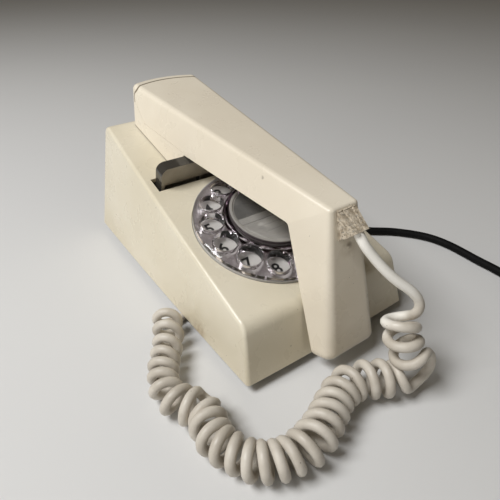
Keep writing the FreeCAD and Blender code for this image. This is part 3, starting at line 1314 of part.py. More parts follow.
def line_plug():
    """The plug lies beside the coil, in line with its turns, with a boot where the cord goes in."""
    length, width, height = PLUG_SIZE
    low = CORD_GAP
    x0 = BOOT_LENGTH
    x1 = x0 + length
    body = box(x0, x1, -width / 2, width / 2, low, low + height)
    body = body.makeFillet(PLUG_ROUND, edges_at(body, lambda p, e: e.BoundBox.ZLength > height / 2))
    latch = box(x0 + PLUG_LATCH[0], x1 - PLUG_ROUND, -PLUG_LATCH[1] / 2, PLUG_LATCH[1] / 2,
                low + height, low + height + PLUG_LATCH[2])
    nose = box(x1, x1 + PLUG_NOSE, -width / 3, width / 3, low + PLUG_STEP, low + height - PLUG_STEP)
    middle = V(0, 0, low + height / 2)
    boot = Part.makeCone(LINE_D / 2 + BOOT_TIP_WALL, LINE_D / 2 + BOOT_WALL, BOOT_LENGTH, middle, V(1, 0, 0))
    plug = fuse_all([body, latch, nose, boot]).translated(V(-(x1 + PLUG_NOSE) / 2, 0, 0))
    plug.rotate(V(0, 0, 0), V(0, 0, 1), PLUG_ANGLE + 90)
    x, y = polar(coil_band()[1] + PLUG_GAP + width / 2, PLUG_ANGLE)
    return plug.translated(V(COIL_CENTRE[0] + x, COIL_CENTRE[1] + y, 0))


PIECES = (case_cover, base_plate, rubber_feet, case_screws, dial_frame, number_ring, finger_stop,
          dial_screws, finger_plate, dial_spindle, main_wheel, main_spring, label_carrier, label_disc,
          label_cap, impulse_wheel, impulse_cam, pulse_contacts, governor_shaft, governor_weights,
          governor_cup, hook_bar, hook_carrier, hook_guide, hook_spring, hook_contacts, handset_shell,
          earpiece_cover, receiver_capsule, receiver_gasket, transmitter_capsule, mouthpiece_grille,
          cord_strain_relief, handset_screws, circuit_board, transformer_core, transformer_winding,
          capacitors, terminal_block, terminal_screws, tone_sounder, sounder_clip, volume_slider,
          handset_cord_gland, handset_cord_tail, handset_cord_curl, handset_cord_base_tail,
          line_cord_gland, line_cord, line_cord_coil, line_cord_tie, line_plug)

ORIGIN_Y = (HALF_LENGTH + HAND_TIP_OUT[0]) / 2

os.makedirs("parts", exist_ok=True)
for make in PIECES:
    make().translated(V(0, -ORIGIN_Y, 0)).exportStep("parts/%s.step" % make.__name__)
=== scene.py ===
"""Dresses the rotary telephone: its finishes, dial digits, hole lips, curly cord and line cord."""
import bisect
import json
import math

import bmesh
import bpy
from mathutils import Matrix, Vector


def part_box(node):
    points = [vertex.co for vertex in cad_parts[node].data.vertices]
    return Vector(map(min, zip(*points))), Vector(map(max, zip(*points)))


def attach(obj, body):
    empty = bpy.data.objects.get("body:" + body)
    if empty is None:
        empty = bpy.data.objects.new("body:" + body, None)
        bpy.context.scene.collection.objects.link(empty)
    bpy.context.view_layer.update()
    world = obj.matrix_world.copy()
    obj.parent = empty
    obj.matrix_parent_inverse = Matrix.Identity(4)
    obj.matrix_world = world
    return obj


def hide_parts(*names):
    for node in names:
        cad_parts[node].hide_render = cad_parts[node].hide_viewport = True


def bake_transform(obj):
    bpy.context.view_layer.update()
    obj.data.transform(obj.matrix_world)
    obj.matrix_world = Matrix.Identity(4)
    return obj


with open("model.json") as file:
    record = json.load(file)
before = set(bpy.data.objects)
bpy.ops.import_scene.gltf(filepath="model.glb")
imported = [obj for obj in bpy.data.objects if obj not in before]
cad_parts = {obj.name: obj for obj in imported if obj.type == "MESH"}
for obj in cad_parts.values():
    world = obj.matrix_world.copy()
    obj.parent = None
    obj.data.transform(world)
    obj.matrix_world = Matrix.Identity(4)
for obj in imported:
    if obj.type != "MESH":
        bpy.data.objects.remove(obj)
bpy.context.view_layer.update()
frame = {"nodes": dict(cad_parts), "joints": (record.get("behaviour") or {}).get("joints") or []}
nodes = frame["nodes"]
scene = bpy.context.scene

# From the frame, in metres and radians
MM = 0.001
case_low, case_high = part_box("case_cover")
CASE_MIDDLE = (case_low[1] + case_high[1]) / 2
dial_joint = next(joint for joint in frame["joints"] if joint["name"] == "dial_turn")
DIAL_AT = Vector(dial_joint["pos_m"])
TOP_TILT = math.atan2(-dial_joint["axis"][1], dial_joint["axis"][2])
DIAL_PLACE = Matrix.Translation(DIAL_AT) @ Matrix.Rotation(TOP_TILT, 4, "X")
UP_THE_TOP = (0.0, math.cos(TOP_TILT), math.sin(TOP_TILT))

# The dial, in millimetres and degrees
HOLES, HOLE_CIRCLE, HOLE_R, FIRST_HOLE, HOLE_PITCH = 10, 31.7, 6.3, 60.0, 26.0
# LENS_R is the clear lens; painted shade of the gap round the label's cap starts at CAP_SHADE_R on the cap
# and inside HUB_WALL_R on the plate
LENS_R, CAP_SHADE_R, HUB_WALL_R = 20.0, 22.0, 24.6


def put(x, y, z):
    """A point given in millimetres from the middle of the case, in the shared frame."""
    return Vector((x * MM, y * MM + CASE_MIDDLE, z * MM))


def ink(red, green, blue):
    """A colour as a screen shows it, 0 to 255, in the values that shaders take."""
    def straight(v):
        v /= 255
        return v / 12.92 if v <= 0.04045 else ((v + 0.055) / 1.055) ** 2.4
    return (straight(red), straight(green), straight(blue), 1.0)


# Nodes
def add(tree, kind, props=None, **inputs):
    """A new node with its properties set, and its inputs linked or set."""
    node = tree.nodes.new(kind)
    for key, value in (props or {}).items():
        setattr(node, key, value)
    for key, value in inputs.items():
        plug_in(tree, node.inputs[key.replace("_", " ")], value)
    return node


def plug_in(tree, socket, value):
    if isinstance(value, bpy.types.NodeSocket):
        tree.links.new(value, socket)
    else:
        socket.default_value = value


def sums(tree, operation, *values):
    """The result of one operation of the maths node."""
    node = add(tree, "ShaderNodeMath", {"operation": operation})
    for socket, value in zip(node.inputs, values):
        plug_in(tree, socket, value)
    return node.outputs[0]


def product(tree, first, *others):
    for other in others:
        first = sums(tree, "MULTIPLY", first, other)
    return first


def hypotenuse(tree, across, up):
    squares = [product(tree, side, side) for side in (across, up)]
    return sums(tree, "SQRT", sums(tree, "ADD", *squares))


def vector_sum(tree, operation, first, second):
    """A sum of two vectors: a number for a distance or a dot product, else a vector."""
    node = add(tree, "ShaderNodeVectorMath", {"operation": operation})
    plug_in(tree, node.inputs[0], first)
    plug_in(tree, node.inputs[1], second)
    return node.outputs["Value" if operation in ("DISTANCE", "DOT_PRODUCT") else "Vector"]


def blend_colour(tree, share, low, high):
    node = add(tree, "ShaderNodeMix", {"data_type": "RGBA"})
    for index, value in ((0, share), (6, low), (7, high)):
        plug_in(tree, node.inputs[index], value)
    return node.outputs[2]


def stain(tree, colour, where, depth, tint):
    """The colour with a tint over it: as strong as its depth where the mask is 1."""
    return blend_colour(tree, product(tree, where, depth), colour, tint)


def span(tree, value, low, high, to_low=0.0, to_high=1.0):
    """A value that eases from one end to the other while another goes from low to high."""
    node = add(tree, "ShaderNodeMapRange", {"interpolation_type": "SMOOTHSTEP"}, Value=value,
               From_Min=low, From_Max=high, To_Min=to_low, To_Max=to_high)
    return node.outputs["Result"]


def grain(tree, coords, scale, detail=3.0, rough=0.5):
    noise = add(tree, "ShaderNodeTexNoise", Vector=coords, Scale=scale, Detail=detail, Roughness=rough)
    return noise.outputs[0]


def flecks(tree, coords, scale, size, share):
    """Small dots, one in some of the cells: 1 on a dot and 0 between."""
    cells = add(tree, "ShaderNodeTexVoronoi", Vector=coords, Scale=scale)
    dot = span(tree, cells.outputs["Distance"], size, size * 0.6)
    pick = add(tree, "ShaderNodeSeparateColor", Color=cells.outputs["Color"]).outputs[0]
    return product(tree, dot, sums(tree, "LESS_THAN", pick, share))


def near(tree, coords, place, reach):
    """1 at a place on the piece, falling to 0 at its reach."""
    return span(tree, vector_sum(tree, "DISTANCE", coords, place), reach, reach * 0.25)


def relief(tree, shader, height, depth):
    """Fine unevenness of a finish, by bump: its depth is in metres."""
    bump = add(tree, "ShaderNodeBump", Height=height, Distance=depth, Strength=1.0)
    tree.links.new(bump.outputs[0], shader.inputs["Normal"])


def new_finish(name, **values):
    """A new material, its node tree, its shader with these values, and the piece's own coordinates."""
    material = bpy.data.materials.new(name)
    material.use_nodes = True
    tree = material.node_tree
    shader = tree.nodes["Principled BSDF"]
    for key, value in values.items():
        shader.inputs[key.replace("_", " ")].default_value = value
    coords = tree.nodes.new("ShaderNodeTexCoord").outputs["Object"]
    return material, tree, shader, coords


# Finishes. In metres: the heights between which mouldings grow yellower towards the bottom, and where the
# curly cord has painted light on it, along and across the case's top
SPECK_BROWN = ink(88, 74, 58)
YELLOW_FROM, YELLOW_FULL = 0.022, 0.004
LIT_ALONG, LIT_ACROSS = (-0.1, -0.092), (-0.012, -0.004)


def moulded_plastic(name, light, dark, yellow_tint, marks, seams_and_shade=None):
    """Old semi-gloss moulding: cloudy colour, yellower towards the bottom, flecks, scuffs and a few marks.
    """
    material, tree, shader, coords = new_finish(name, IOR=1.5)
    height = add(tree, "ShaderNodeSeparateXYZ", Vector=coords).outputs["Z"]
    cloud = span(tree, grain(tree, coords, 18.0, 4.0), 0.35, 0.65)
    colour = blend_colour(tree, cloud, dark, light)
    low = product(tree, span(tree, height, YELLOW_FROM, YELLOW_FULL), grain(tree, coords, 70.0, 5.0))
    colour = stain(tree, colour, low, 0.35, yellow_tint)
    scuffs = span(tree, grain(tree, coords, 260.0, 8.0, 0.7), 0.66, 0.8)
    colour = stain(tree, colour, scuffs, 0.35, yellow_tint)
    for scale, size, share, depth in ((420.0, 0.1, 0.07, 0.75), (170.0, 0.07, 0.05, 0.85)):
        dots = flecks(tree, coords, scale, size, share)
        colour = stain(tree, colour, dots, depth, SPECK_BROWN)
    ragged = span(tree, grain(tree, coords, 330.0), 0.3, 0.6)
    for place, reach, tint, depth in marks:
        spot = product(tree, near(tree, coords, place, reach), ragged)
        colour = stain(tree, colour, spot, depth, tint)
    if seams_and_shade:
        # The handset's seam grime, and the painted shade under its lower edge where it rests on the case
        colour = blend_colour(tree, seams_and_shade(tree, coords), colour, ink(96, 82, 62))
    tree.links.new(colour, shader.inputs["Base Color"])
    shine = span(tree, grain(tree, coords, 55.0, 6.0), 0.3, 0.7, 0.24, 0.36)
    tree.links.new(shine, shader.inputs["Roughness"])
    waves = product(tree, grain(tree, coords, 38.0), 6.0)
    relief(tree, shader, sums(tree, "ADD", grain(tree, coords, 1400.0, 2.0), waves), 0.00002)
    return material


def plain_plastic(name, light, dark, rough, skin=900.0, depth=0.00005, sheen=0.5):
    """Moulding or paint of one colour, slightly clouded and dusty."""
    material, tree, shader, coords = new_finish(name, IOR=1.5, Specular_IOR_Level=sheen)
    cloud = span(tree, grain(tree, coords, 60.0, 5.0), 0.3, 0.7)
    colour = blend_colour(tree, cloud, dark, light)
    dust = flecks(tree, coords, 600.0, 0.12, 0.08)
    colour = stain(tree, colour, dust, 0.4, ink(150, 144, 134))
    tree.links.new(colour, shader.inputs["Base Color"])
    shine = span(tree, grain(tree, coords, 90.0, 5.0), 0.3, 0.7, rough - 0.07, rough + 0.07)
    tree.links.new(shine, shader.inputs["Roughness"])
    relief(tree, shader, grain(tree, coords, skin, 4.0), depth)
    return material


def metal(name, light, dark, rough, stretch=(1.0, 1.0, 12.0)):
    """Plated or turned metal: fine drawn lines, a little tarnish and uneven shine."""
    material, tree, shader, coords = new_finish(name, Metallic=1.0)
    lines = add(tree, "ShaderNodeMapping", Vector=coords, Scale=stretch).outputs[0]
    drawn = grain(tree, lines, 700.0, 3.0)
    tarnish = span(tree, grain(tree, coords, 120.0, 5.0), 0.35, 0.75)
    tree.links.new(blend_colour(tree, tarnish, light, dark), shader.inputs["Base Color"])
    shine = span(tree, drawn, 0.2, 0.8, rough - 0.08, rough + 0.1)
    tree.links.new(shine, shader.inputs["Roughness"])
    relief(tree, shader, drawn, 0.00003)
    return material


def dial_plane(tree, coords):
    """Millimetres across and up the dial's face from its centre, and out from that face."""
    moved = vector_sum(tree, "SUBTRACT", coords, DIAL_AT)
    flat = add(tree, "ShaderNodeMapping", Vector=moved, Rotation=(-TOP_TILT, 0.0, 0.0),
               Scale=(1 / MM,) * 3)
    parts = add(tree, "ShaderNodeSeparateXYZ", Vector=flat.outputs[0])
    return parts.outputs["X"], parts.outputs["Y"], parts.outputs["Z"]


def dial_reach(tree, coords):
    """Millimetres out from the dial's axis."""
    return hypotenuse(tree, *dial_plane(tree, coords)[:2])


def dial_plastic():
    """The finger plate: clear, tinted through its depth, with painted shade at its hub's wall, and
    hairline wear.
    """
    material, tree, shader, coords = new_finish("mauve_plate", IOR=1.49, Transmission_Weight=1.0)
    # Painted shade: the plate is dark inside its hub's wall, where the gap round the label's cap lies in
    # shade
    hub = span(tree, dial_reach(tree, coords), HUB_WALL_R + 0.35, HUB_WALL_R)
    colour = blend_colour(tree, hub, (0.97, 0.96, 0.97, 1.0), ink(58, 40, 52))
    tree.links.new(colour, shader.inputs["Base Color"])
    hairs = add(tree, "ShaderNodeMapping", Vector=coords, Scale=(1.0, 9.0, 3.0), Rotation=(0.3, 0.2, 0.7))
    wear = span(tree, grain(tree, hairs.outputs[0], 240.0, 6.0, 0.7), 0.5, 0.85, 0.04, 0.1)
    tree.links.new(wear, shader.inputs["Roughness"])
    relief(tree, shader, grain(tree, coords, 160.0, 2.0), 0.000012)
    body = add(tree, "ShaderNodeVolumeAbsorption", Color=ink(210, 196, 208), Density=85.0)
    tree.links.new(body.outputs[0], tree.nodes["Material Output"].inputs["Volume"])
    return material


def watch_glass():
    """The label's cap: a thin clear lens inside a frosted pale rim, with painted shade round its edge."""
    material, tree, shader, coords = new_finish("label_glass", IOR=1.49)
    reach = dial_reach(tree, coords)
    rim = span(tree, reach, LENS_R - 0.4, LENS_R + 0.4)
    frost = blend_colour(tree, grain(tree, coords, 500.0, 4.0), ink(168, 164, 158), ink(192, 188, 182))
    # Painted shade: the cap's outer edge is dark, standing in for shade in the gap to the hub's wall
    gap_shade = span(tree, reach, CAP_SHADE_R, CAP_SHADE_R + 0.5)
    tree.links.new(blend_colour(tree, gap_shade, frost, ink(58, 44, 52)), shader.inputs["Base Color"])
    tree.links.new(sums(tree, "ADD", 0.12, product(tree, rim, 0.5)), shader.inputs["Alpha"])
    shine = span(tree, grain(tree, coords, 260.0, 6.0), 0.4, 0.7, 0.06, 0.22)
    tree.links.new(shine, shader.inputs["Roughness"])
    relief(tree, shader, grain(tree, coords, 140.0, 2.0), 0.00003)
    return material


def smoked_plastic():
    """The hook bar: smoked moulding, with painted light on its front and back faces and painted shade
    along its edges.
    """
    material, tree, shader, coords = new_finish("smoked_bar", IOR=1.5, Transmission_Weight=0.15)
    normal = tree.nodes["Texture Coordinate"].outputs["Normal"]
    facing = vector_sum(tree, "DOT_PRODUCT", normal, UP_THE_TOP)
    # Painted light and shade: faces turned along the case's top take the pale colour, the top and ends the
    # dark one
    lit_faces = span(tree, sums(tree, "ABSOLUTE", facing), 0.8, 0.98)
    cloud = span(tree, grain(tree, coords, 45.0, 3.0), 0.35, 0.65)
    face = blend_colour(tree, cloud, ink(150, 141, 124), ink(178, 168, 150))
    tree.links.new(blend_colour(tree, lit_faces, ink(64, 61, 56), face), shader.inputs["Base Color"])
    shine = span(tree, grain(tree, coords, 220.0, 6.0, 0.7), 0.5, 0.8, 0.07, 0.2)
    tree.links.new(shine, shader.inputs["Roughness"])
    relief(tree, shader, grain(tree, coords, 160.0, 2.0), 0.00004)
    return material


def cord_plastic():
    """Grey-beige vinyl: painted light near the handset, dark specks, grime in the hollows of the skin.

    The painted light is placed along and across the case's top, since a lift of the handset changes
    neither."""
    material, tree, shader, coords = new_finish("cord_vinyl", IOR=1.48)
    across = add(tree, "ShaderNodeSeparateXYZ", Vector=coords).outputs["X"]
    along = vector_sum(tree, "DOT_PRODUCT", coords, UP_THE_TOP)
    upper = product(tree, span(tree, along, *LIT_ALONG), span(tree, across, *LIT_ACROSS))
    cloud = span(tree, grain(tree, coords, 90.0, 5.0), 0.35, 0.65)
    colour = blend_colour(tree, cloud, ink(190, 182, 169), ink(208, 201, 189))
    # Painted light: the cord is paler near the handset, along and across the case's top
    colour = blend_colour(tree, upper, colour, ink(243, 240, 232))
    grime = span(tree, grain(tree, coords, 420.0, 7.0, 0.7), 0.6, 0.78)
    colour = stain(tree, colour, grime, 0.3, ink(140, 128, 110))
    dots = flecks(tree, coords, 330.0, 0.12, 0.09)
    colour = stain(tree, colour, dots, 0.7, ink(90, 80, 68))
    tree.links.new(colour, shader.inputs["Base Color"])
    shine = span(tree, grain(tree, coords, 200.0, 4.0), 0.3, 0.7, 0.36, 0.52)
    tree.links.new(shine, shader.inputs["Roughness"])
    relief(tree, shader, grain(tree, coords, 800.0, 4.0), 0.00008)
    return material


def crazed_rubber():
    """The strain relief: tan rubber gone hard, with pale flakes and dark pits."""
    material, tree, shader, coords = new_finish("crazed_rubber", IOR=1.48)
    cloud = span(tree, grain(tree, coords, 420.0, 8.0, 0.75), 0.4, 0.62)
    colour = blend_colour(tree, cloud, ink(160, 146, 125), ink(212, 200, 180))
    flakes = span(tree, grain(tree, coords, 1100.0, 7.0, 0.8), 0.55, 0.64)
    colour = stain(tree, colour, flakes, 0.9, ink(238, 233, 223))
    pits = flecks(tree, coords, 900.0, 0.3, 0.2)
    colour = stain(tree, colour, pits, 0.4, ink(104, 90, 70))
    tree.links.new(colour, shader.inputs["Base Color"])
    tree.links.new(span(tree, flakes, 0.0, 1.0, 0.62, 0.3), shader.inputs["Roughness"])
    relief(tree, shader, sums(tree, "ADD", grain(tree, coords, 700.0, 6.0), flakes), 0.0005)
    return material


# The centre label's fields and rules, in millimetres up and across the dial's face
FIELD_EDGE, LOWER_RULE, SPLIT_AT = 2.4, -2.0, 1.5
DOTTED_LINES, DOTTED_HALF, DOTS_PER_MM, DOT_SHARE = (-6.4, -10.6), 11.0, 0.9, 0.55


def printed_card():
    """The centre label: a dark field over pale ones, parted by thin rules."""
    material, tree, shader, coords = new_finish("printed_card", IOR=1.45, Roughness=0.6)
    across, up = dial_plane(tree, coords)[:2]
    paper = blend_colour(tree, grain(tree, coords, 900.0, 5.0), ink(172, 169, 164), ink(194, 191, 185))
    dark = blend_colour(tree, grain(tree, coords, 700.0, 5.0), ink(74, 74, 73), ink(92, 92, 90))
    rule_grey = ink(96, 95, 93)

    def rule(value, at, half):
        off = sums(tree, "ABSOLUTE", sums(tree, "SUBTRACT", value, at))
        return sums(tree, "LESS_THAN", off, half)

    upper = sums(tree, "GREATER_THAN", up, FIELD_EDGE)
    colour = blend_colour(tree, upper, paper, dark)
    split = product(tree, upper, rule(across, SPLIT_AT, 0.22))
    colour = blend_colour(tree, split, colour, ink(196, 193, 188))
    for at, half in ((FIELD_EDGE, 0.2), (LOWER_RULE, 0.16)):
        colour = blend_colour(tree, rule(up, at, half), colour, rule_grey)
    between = rule(up, (FIELD_EDGE + LOWER_RULE) / 2, (FIELD_EDGE - LOWER_RULE) / 2)
    box_rule = product(tree, rule(across, SPLIT_AT, 0.16), between)
    colour = blend_colour(tree, box_rule, colour, rule_grey)
    beat = sums(tree, "FRACT", product(tree, across, DOTS_PER_MM))
    dots = sums(tree, "LESS_THAN", beat, DOT_SHARE)
    for at in DOTTED_LINES:
        line = product(tree, rule(up, at, 0.14), rule(across, 0.0, DOTTED_HALF), dots)
        colour = blend_colour(tree, line, colour, ink(104, 103, 101))
    tree.links.new(colour, shader.inputs["Base Color"])
    relief(tree, shader, grain(tree, coords, 1500.0, 3.0), 0.00002)
    return material


# The handset's rear seam is an arc: its centre, the way back from there, its radius at the shell's edge,
# and how far it lies inside that edge on top. Lifts are millimetres over the case's top. The painted shade
# along the edge that rests on the case starts at FOOT_FROM, in millimetres up the dial's face.
BOW_AT, BOW_OUT, BOW_R, RIM_DEPTH = put(0.0, 22.521, 111.758), (0.0, 0.9739, -0.2269), 59.2, 3.9
SEAM_LOWEST, SEAM_LEAVES_EDGE, SEAM_ON_TOP = 12.0, 15.2, 21.0
SEAM_HALF, SEAM_CORE, SEAM_AND_SHADE_DEPTH = 0.45, 0.1, 0.85
TOP_WIDER, WIDER_FROM, WIDER_TO = 0.3, 15.0, 19.0
FOOT_LIFT, FOOT_CORE, FOOT_FROM = 1.0, 0.5, 45.0


def hand_seams_and_shade(tree, coords):
    """Grime in the bowed seam behind the handset's rear lip, and painted shade along the edge that rests
    on the case.
    """
    across, up, lift = dial_plane(tree, coords)
    from_bow = vector_sum(tree, "SUBTRACT", coords, BOW_AT)
    behind = product(tree, vector_sum(tree, "DOT_PRODUCT", from_bow, BOW_OUT), 1 / MM)
    bow = span(tree, lift, SEAM_LEAVES_EDGE, SEAM_ON_TOP, BOW_R, BOW_R - RIM_DEPTH)
    off = sums(tree, "ABSOLUTE", sums(tree, "SUBTRACT", hypotenuse(tree, across, behind), bow))
    wider = span(tree, lift, WIDER_FROM, WIDER_TO, 0.0, TOP_WIDER)
    lip = product(tree, span(tree, sums(tree, "SUBTRACT", off, wider), SEAM_HALF, SEAM_CORE), SEAM_AND_SHADE_DEPTH,
                  sums(tree, "GREATER_THAN", lift, SEAM_LOWEST), sums(tree, "GREATER_THAN", behind, 0.0))
    # Painted shade along the handset's lower edge, within a millimetre of the case's top
    foot_shade = product(tree, span(tree, lift, FOOT_LIFT, FOOT_CORE),
                   sums(tree, "GREATER_THAN", up, FOOT_FROM), SEAM_AND_SHADE_DEPTH)
    return sums(tree, "MAXIMUM", lip, foot_shade)


# Marks: place, reach in metres, tint and depth
MARKS_CASE = (
    # A warm brown patch at the case's lower edge, beside the curly cord
    (put(-52.4, -46.5, 6.5), 0.008, ink(150, 122, 84), 0.45),
    (put(-26.0, -87.5, 14.0), 0.0008, SPECK_BROWN, 0.8),
)
MARKS_HAND = (
    (put(-12.0, -44.5, 80.5), 0.0014, ink(64, 54, 42), 1.0),
    (put(1.0, -91.0, 62.8), 0.0025, ink(96, 78, 58), 0.8),
    (put(0.0, -91.0, 62.0), 0.007, ink(170, 152, 124), 0.3),
)

finishes = {
    "case_ivory": moulded_plastic("ivory_case", ink(226, 218, 198), ink(218, 209, 186),
                                  ink(192, 174, 136), MARKS_CASE),
    "hand_cream": moulded_plastic("cream_handset", ink(233, 224, 206), ink(225, 215, 196),
                                  ink(196, 180, 152), MARKS_HAND, hand_seams_and_shade),
    "base_grey": plain_plastic("grey_underside", ink(96, 95, 92), ink(84, 83, 80), 0.5),
    "black_rubber": plain_plastic("black_rubber", ink(14, 14, 14), ink(8, 8, 8), 0.7, sheen=0.15),
    "black_plastic": plain_plastic("black_moulding", ink(34, 34, 35), ink(24, 24, 25), 0.38),
    "bright_steel": metal("plated_steel", ink(206, 206, 202), ink(170, 168, 162), 0.24),
    "frame_alloy": metal("cast_alloy", ink(176, 177, 178), ink(148, 148, 148), 0.42, (1.0, 1.0, 1.0)),
    "gear_brass": metal("gear_brass", ink(206, 172, 102), ink(170, 134, 72), 0.3),
    "number_grey": plain_plastic("number_ring_paint", ink(202, 199, 195), ink(190, 187, 183), 0.42,
                                 1300.0, 0.00002),
    "clear_mauve": dial_plastic(),
    "clear_cap": watch_glass(),
    "smoke": smoked_plastic(),
    "board_green": plain_plastic("board_lacquer", ink(64, 104, 62), ink(46, 84, 48), 0.34),
    "copper_tape": metal("wound_copper", ink(206, 136, 88), ink(166, 100, 60), 0.34, (14.0, 1.0, 1.0)),
    "tan_rubber": crazed_rubber(),
    "cord_grey": cord_plastic(),
    "plug_white": plain_plastic("plug_moulding", ink(226, 224, 216), ink(214, 211, 202), 0.35),
}
wearing = {
    "case_ivory": ("case_cover",),
    "hand_cream": ("handset_shell", "earpiece_cover", "mouthpiece_grille"),
    "base_grey": ("base_plate", "hook_guide", "volume_slider"),
    "black_rubber": ("rubber_feet", "receiver_gasket", "line_cord_gland", "line_cord", "line_cord_coil"),
    "black_plastic": ("hook_carrier", "terminal_block", "tone_sounder", "line_cord_tie"),
    "bright_steel": ("case_screws", "dial_screws", "finger_stop", "main_spring", "pulse_contacts",
                     "hook_spring", "hook_contacts", "terminal_screws", "sounder_clip",
                     "handset_screws", "impulse_cam", "governor_shaft", "dial_spindle",
                     "transformer_core"),
    "frame_alloy": ("dial_frame", "governor_cup", "receiver_capsule", "transmitter_capsule",
                    "capacitors"),
    "gear_brass": ("main_wheel", "impulse_wheel", "governor_weights"),
    "number_grey": ("number_ring", "label_carrier"),
    "clear_mauve": ("finger_plate",),
    "clear_cap": ("label_cap",),
    "smoke": ("hook_bar",),
    "board_green": ("circuit_board",),
    "copper_tape": ("transformer_winding",),
    "tan_rubber": ("cord_strain_relief", "handset_cord_gland"),
    "cord_grey": ("handset_cord_tail", "handset_cord_curl", "handset_cord_base_tail"),
    "plug_white": ("line_plug",),
}


def dress(piece, material):
    """Gives a piece one finish in all its slots."""
    if not piece.data.materials:
        piece.data.materials.append(material)
    for slot in piece.material_slots:
        slot.material = material


for slot_name, names in wearing.items():
    for name in names:
        dress(nodes[name], finishes[slot_name])
dress(nodes["label_disc"], printed_card())


# Pieces
def new_piece(name, mesh, slot_name, body=None):
    """A visible piece with the finish of its slot, riding on a body if one is named."""
    piece = bpy.data.objects.new(name, mesh)
    scene.collection.objects.link(piece)
    dress(piece, finishes[slot_name])
    if body:
        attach(piece, body)
    return piece


def as_mesh(holder):
    """The plain mesh that a curve, a text or a node tree makes. Its holder is removed."""
    scene.collection.objects.link(holder)
    bpy.context.view_layer.update()
    shown = holder.evaluated_get(bpy.context.evaluated_depsgraph_get())
    mesh = bpy.data.meshes.new_from_object(shown)
    bpy.data.objects.remove(holder)
    return mesh


def smooth(mesh):
    for polygon in mesh.polygons:
        polygon.use_smooth = True
    return mesh


def route_curve(points, steps, diameter=0.0):
    """A smooth cord line that the route's points control, with a round skin if a diameter is given."""
    curve = bpy.data.curves.new("route", "CURVE")
    curve.dimensions = "3D"
    curve.resolution_u = steps
    curve.bevel_depth = diameter / 2
    curve.bevel_resolution = 3
    curve.use_fill_caps = True
    spline = curve.splines.new("NURBS")
    spline.points.add(len(points) - 1)
    for point, place in zip(spline.points, points):
        point.co = (*place, 1.0)
    spline.order_u = 3
    spline.use_endpoint_u = True
    spline.resolution_u = steps
    return as_mesh(bpy.data.objects.new("route", curve))


def route_points(points, steps):
    return [v.co.copy() for v in route_curve(points, steps).vertices]


# Front skin of the hook bar, in millimetres across, up and out from the dial's centre
BAR_SKIN_LOW, BAR_SKIN_HIGH = (-37.2, 48.35, 0.9), (37.2, 49.25, 10.4)
BOX_FACES = [(0, 2, 3, 1), (4, 5, 7, 6), (0, 1, 5, 4), (2, 6, 7, 3), (0, 4, 6, 2), (1, 3, 7, 5)]


def box_mesh(low, high):
    """A box that leans with the case's top."""
    mesh = bpy.data.meshes.new("bar_skin")
    xs, ys, zs = zip(low, high)
    corners = [Vector((x, y, z)) for z in zs for y in ys for x in xs]
    mesh.from_pydata([DIAL_PLACE @ (corner * MM) for corner in corners], [], BOX_FACES)
    return mesh


new_piece("hook_bar_skin", box_mesh(BAR_SKIN_LOW, BAR_SKIN_HIGH), "smoke", "hook")

# Curly cord, from the strain relief to the gland under the case: its places are in millimetres
WIRE = 0.0046                                  # diameter, in metres
AXIS_STEPS, WIRE_STEPS = 80, 3                 # points on each span of a spline
POINT_GAP = 0.0025                             # least distance between the wire's points, in metres
LOOP_FRONT = Vector((-0.477, -0.67, 0.568))    # way to the first loop's front, where whole turns end
ON_FLOOR = 2.4                                 # height of the wire's middle where it lies on the floor
TAIL = [(0, -95.0, 71.4), (0, -98.3, 68.1), (2.2, -101.4, 63.7), (5.6, -106.8, 57.5), (9.5, -111.7, 52.4),
        (14.3, -116.2, 48.4), (17.3, -119.5, 43.6), (16.8, -120.9, 39.8)]
# Loops are (x, y, z, radius, number), and those on the floor (x, y, radius)
HANGING_LOOPS = [(9.7, -116.7, 36.9, 6.5, -0.75), (8.2, -119.2, 33.6, 6.6, 0), (7.6, -122.5, 26.6, 6.6, 1),
                 (9.1, -126.7, 19.8, 6.8, 2), (13.3, -130.4, 15.2, 6.8, 2.5)]
FLOOR_LOOPS = [(5.0, -126.9, 6.0), (-0.8, -123.6, 6.8), (-6.5, -120.3, 7.0), (-14.1, -116.3, 7.0),
               (-21.1, -116.9, 6.8), (-27.2, -118.8, 6.4), (-33.1, -121.8, 6.6), (-38.6, -124.6, 6.6),
               (-44.9, -127.2, 7.0), (-52.3, -128.8, 7.0), (-58.7, -127.9, 6.4), (-63.9, -126.8, 6.3),
               (-68.7, -124.1, 6.2), (-72.8, -120.7, 6.2), (-75.6, -115.4, 6.0), (-78.5, -109.4, 6.1),
               (-79.4, -104.4, 6.4), (-78.2, -98.3, 6.6), (-76.0, -92.8, 6.2), (-79.2, -86.6, 6.7),
               (-84.0, -78.6, 6.0), (-84.4, -69.9, 5.4), (-81.8, -63.9, 5.4), (-79.0, -58.7, 5.5),
               (-74.8, -52.5, 5.4), (-70.3, -46.6, 5.7), (-65.9, -37.9, 5.9), (-62.6, -29.9, 5.6),
               (-61.4, -26.8, 5.4)]
FIRST_ON_FLOOR, LAST_TURN_CUT = 3, 0.65
LOOPS = HANGING_LOOPS + [(x, y, r + ON_FLOOR, r, number)
                         for number, (x, y, r) in enumerate(FLOOR_LOOPS, FIRST_ON_FLOOR)]
LOOPS[-1] = LOOPS[-1][:4] + (LOOPS[-1][4] - LAST_TURN_CUT,)
# Flips of the winding: after which loop, and how far the wire runs past its front and bends, in turns
FLIPS = ((2, 0.04, 0.21), (21, 0.42, 0.082))
BASE_TAIL = [(-57.4, -28.9, ON_FLOOR), (-52.6, -28.2, ON_FLOOR), (-47, -27.4, ON_FLOOR)]


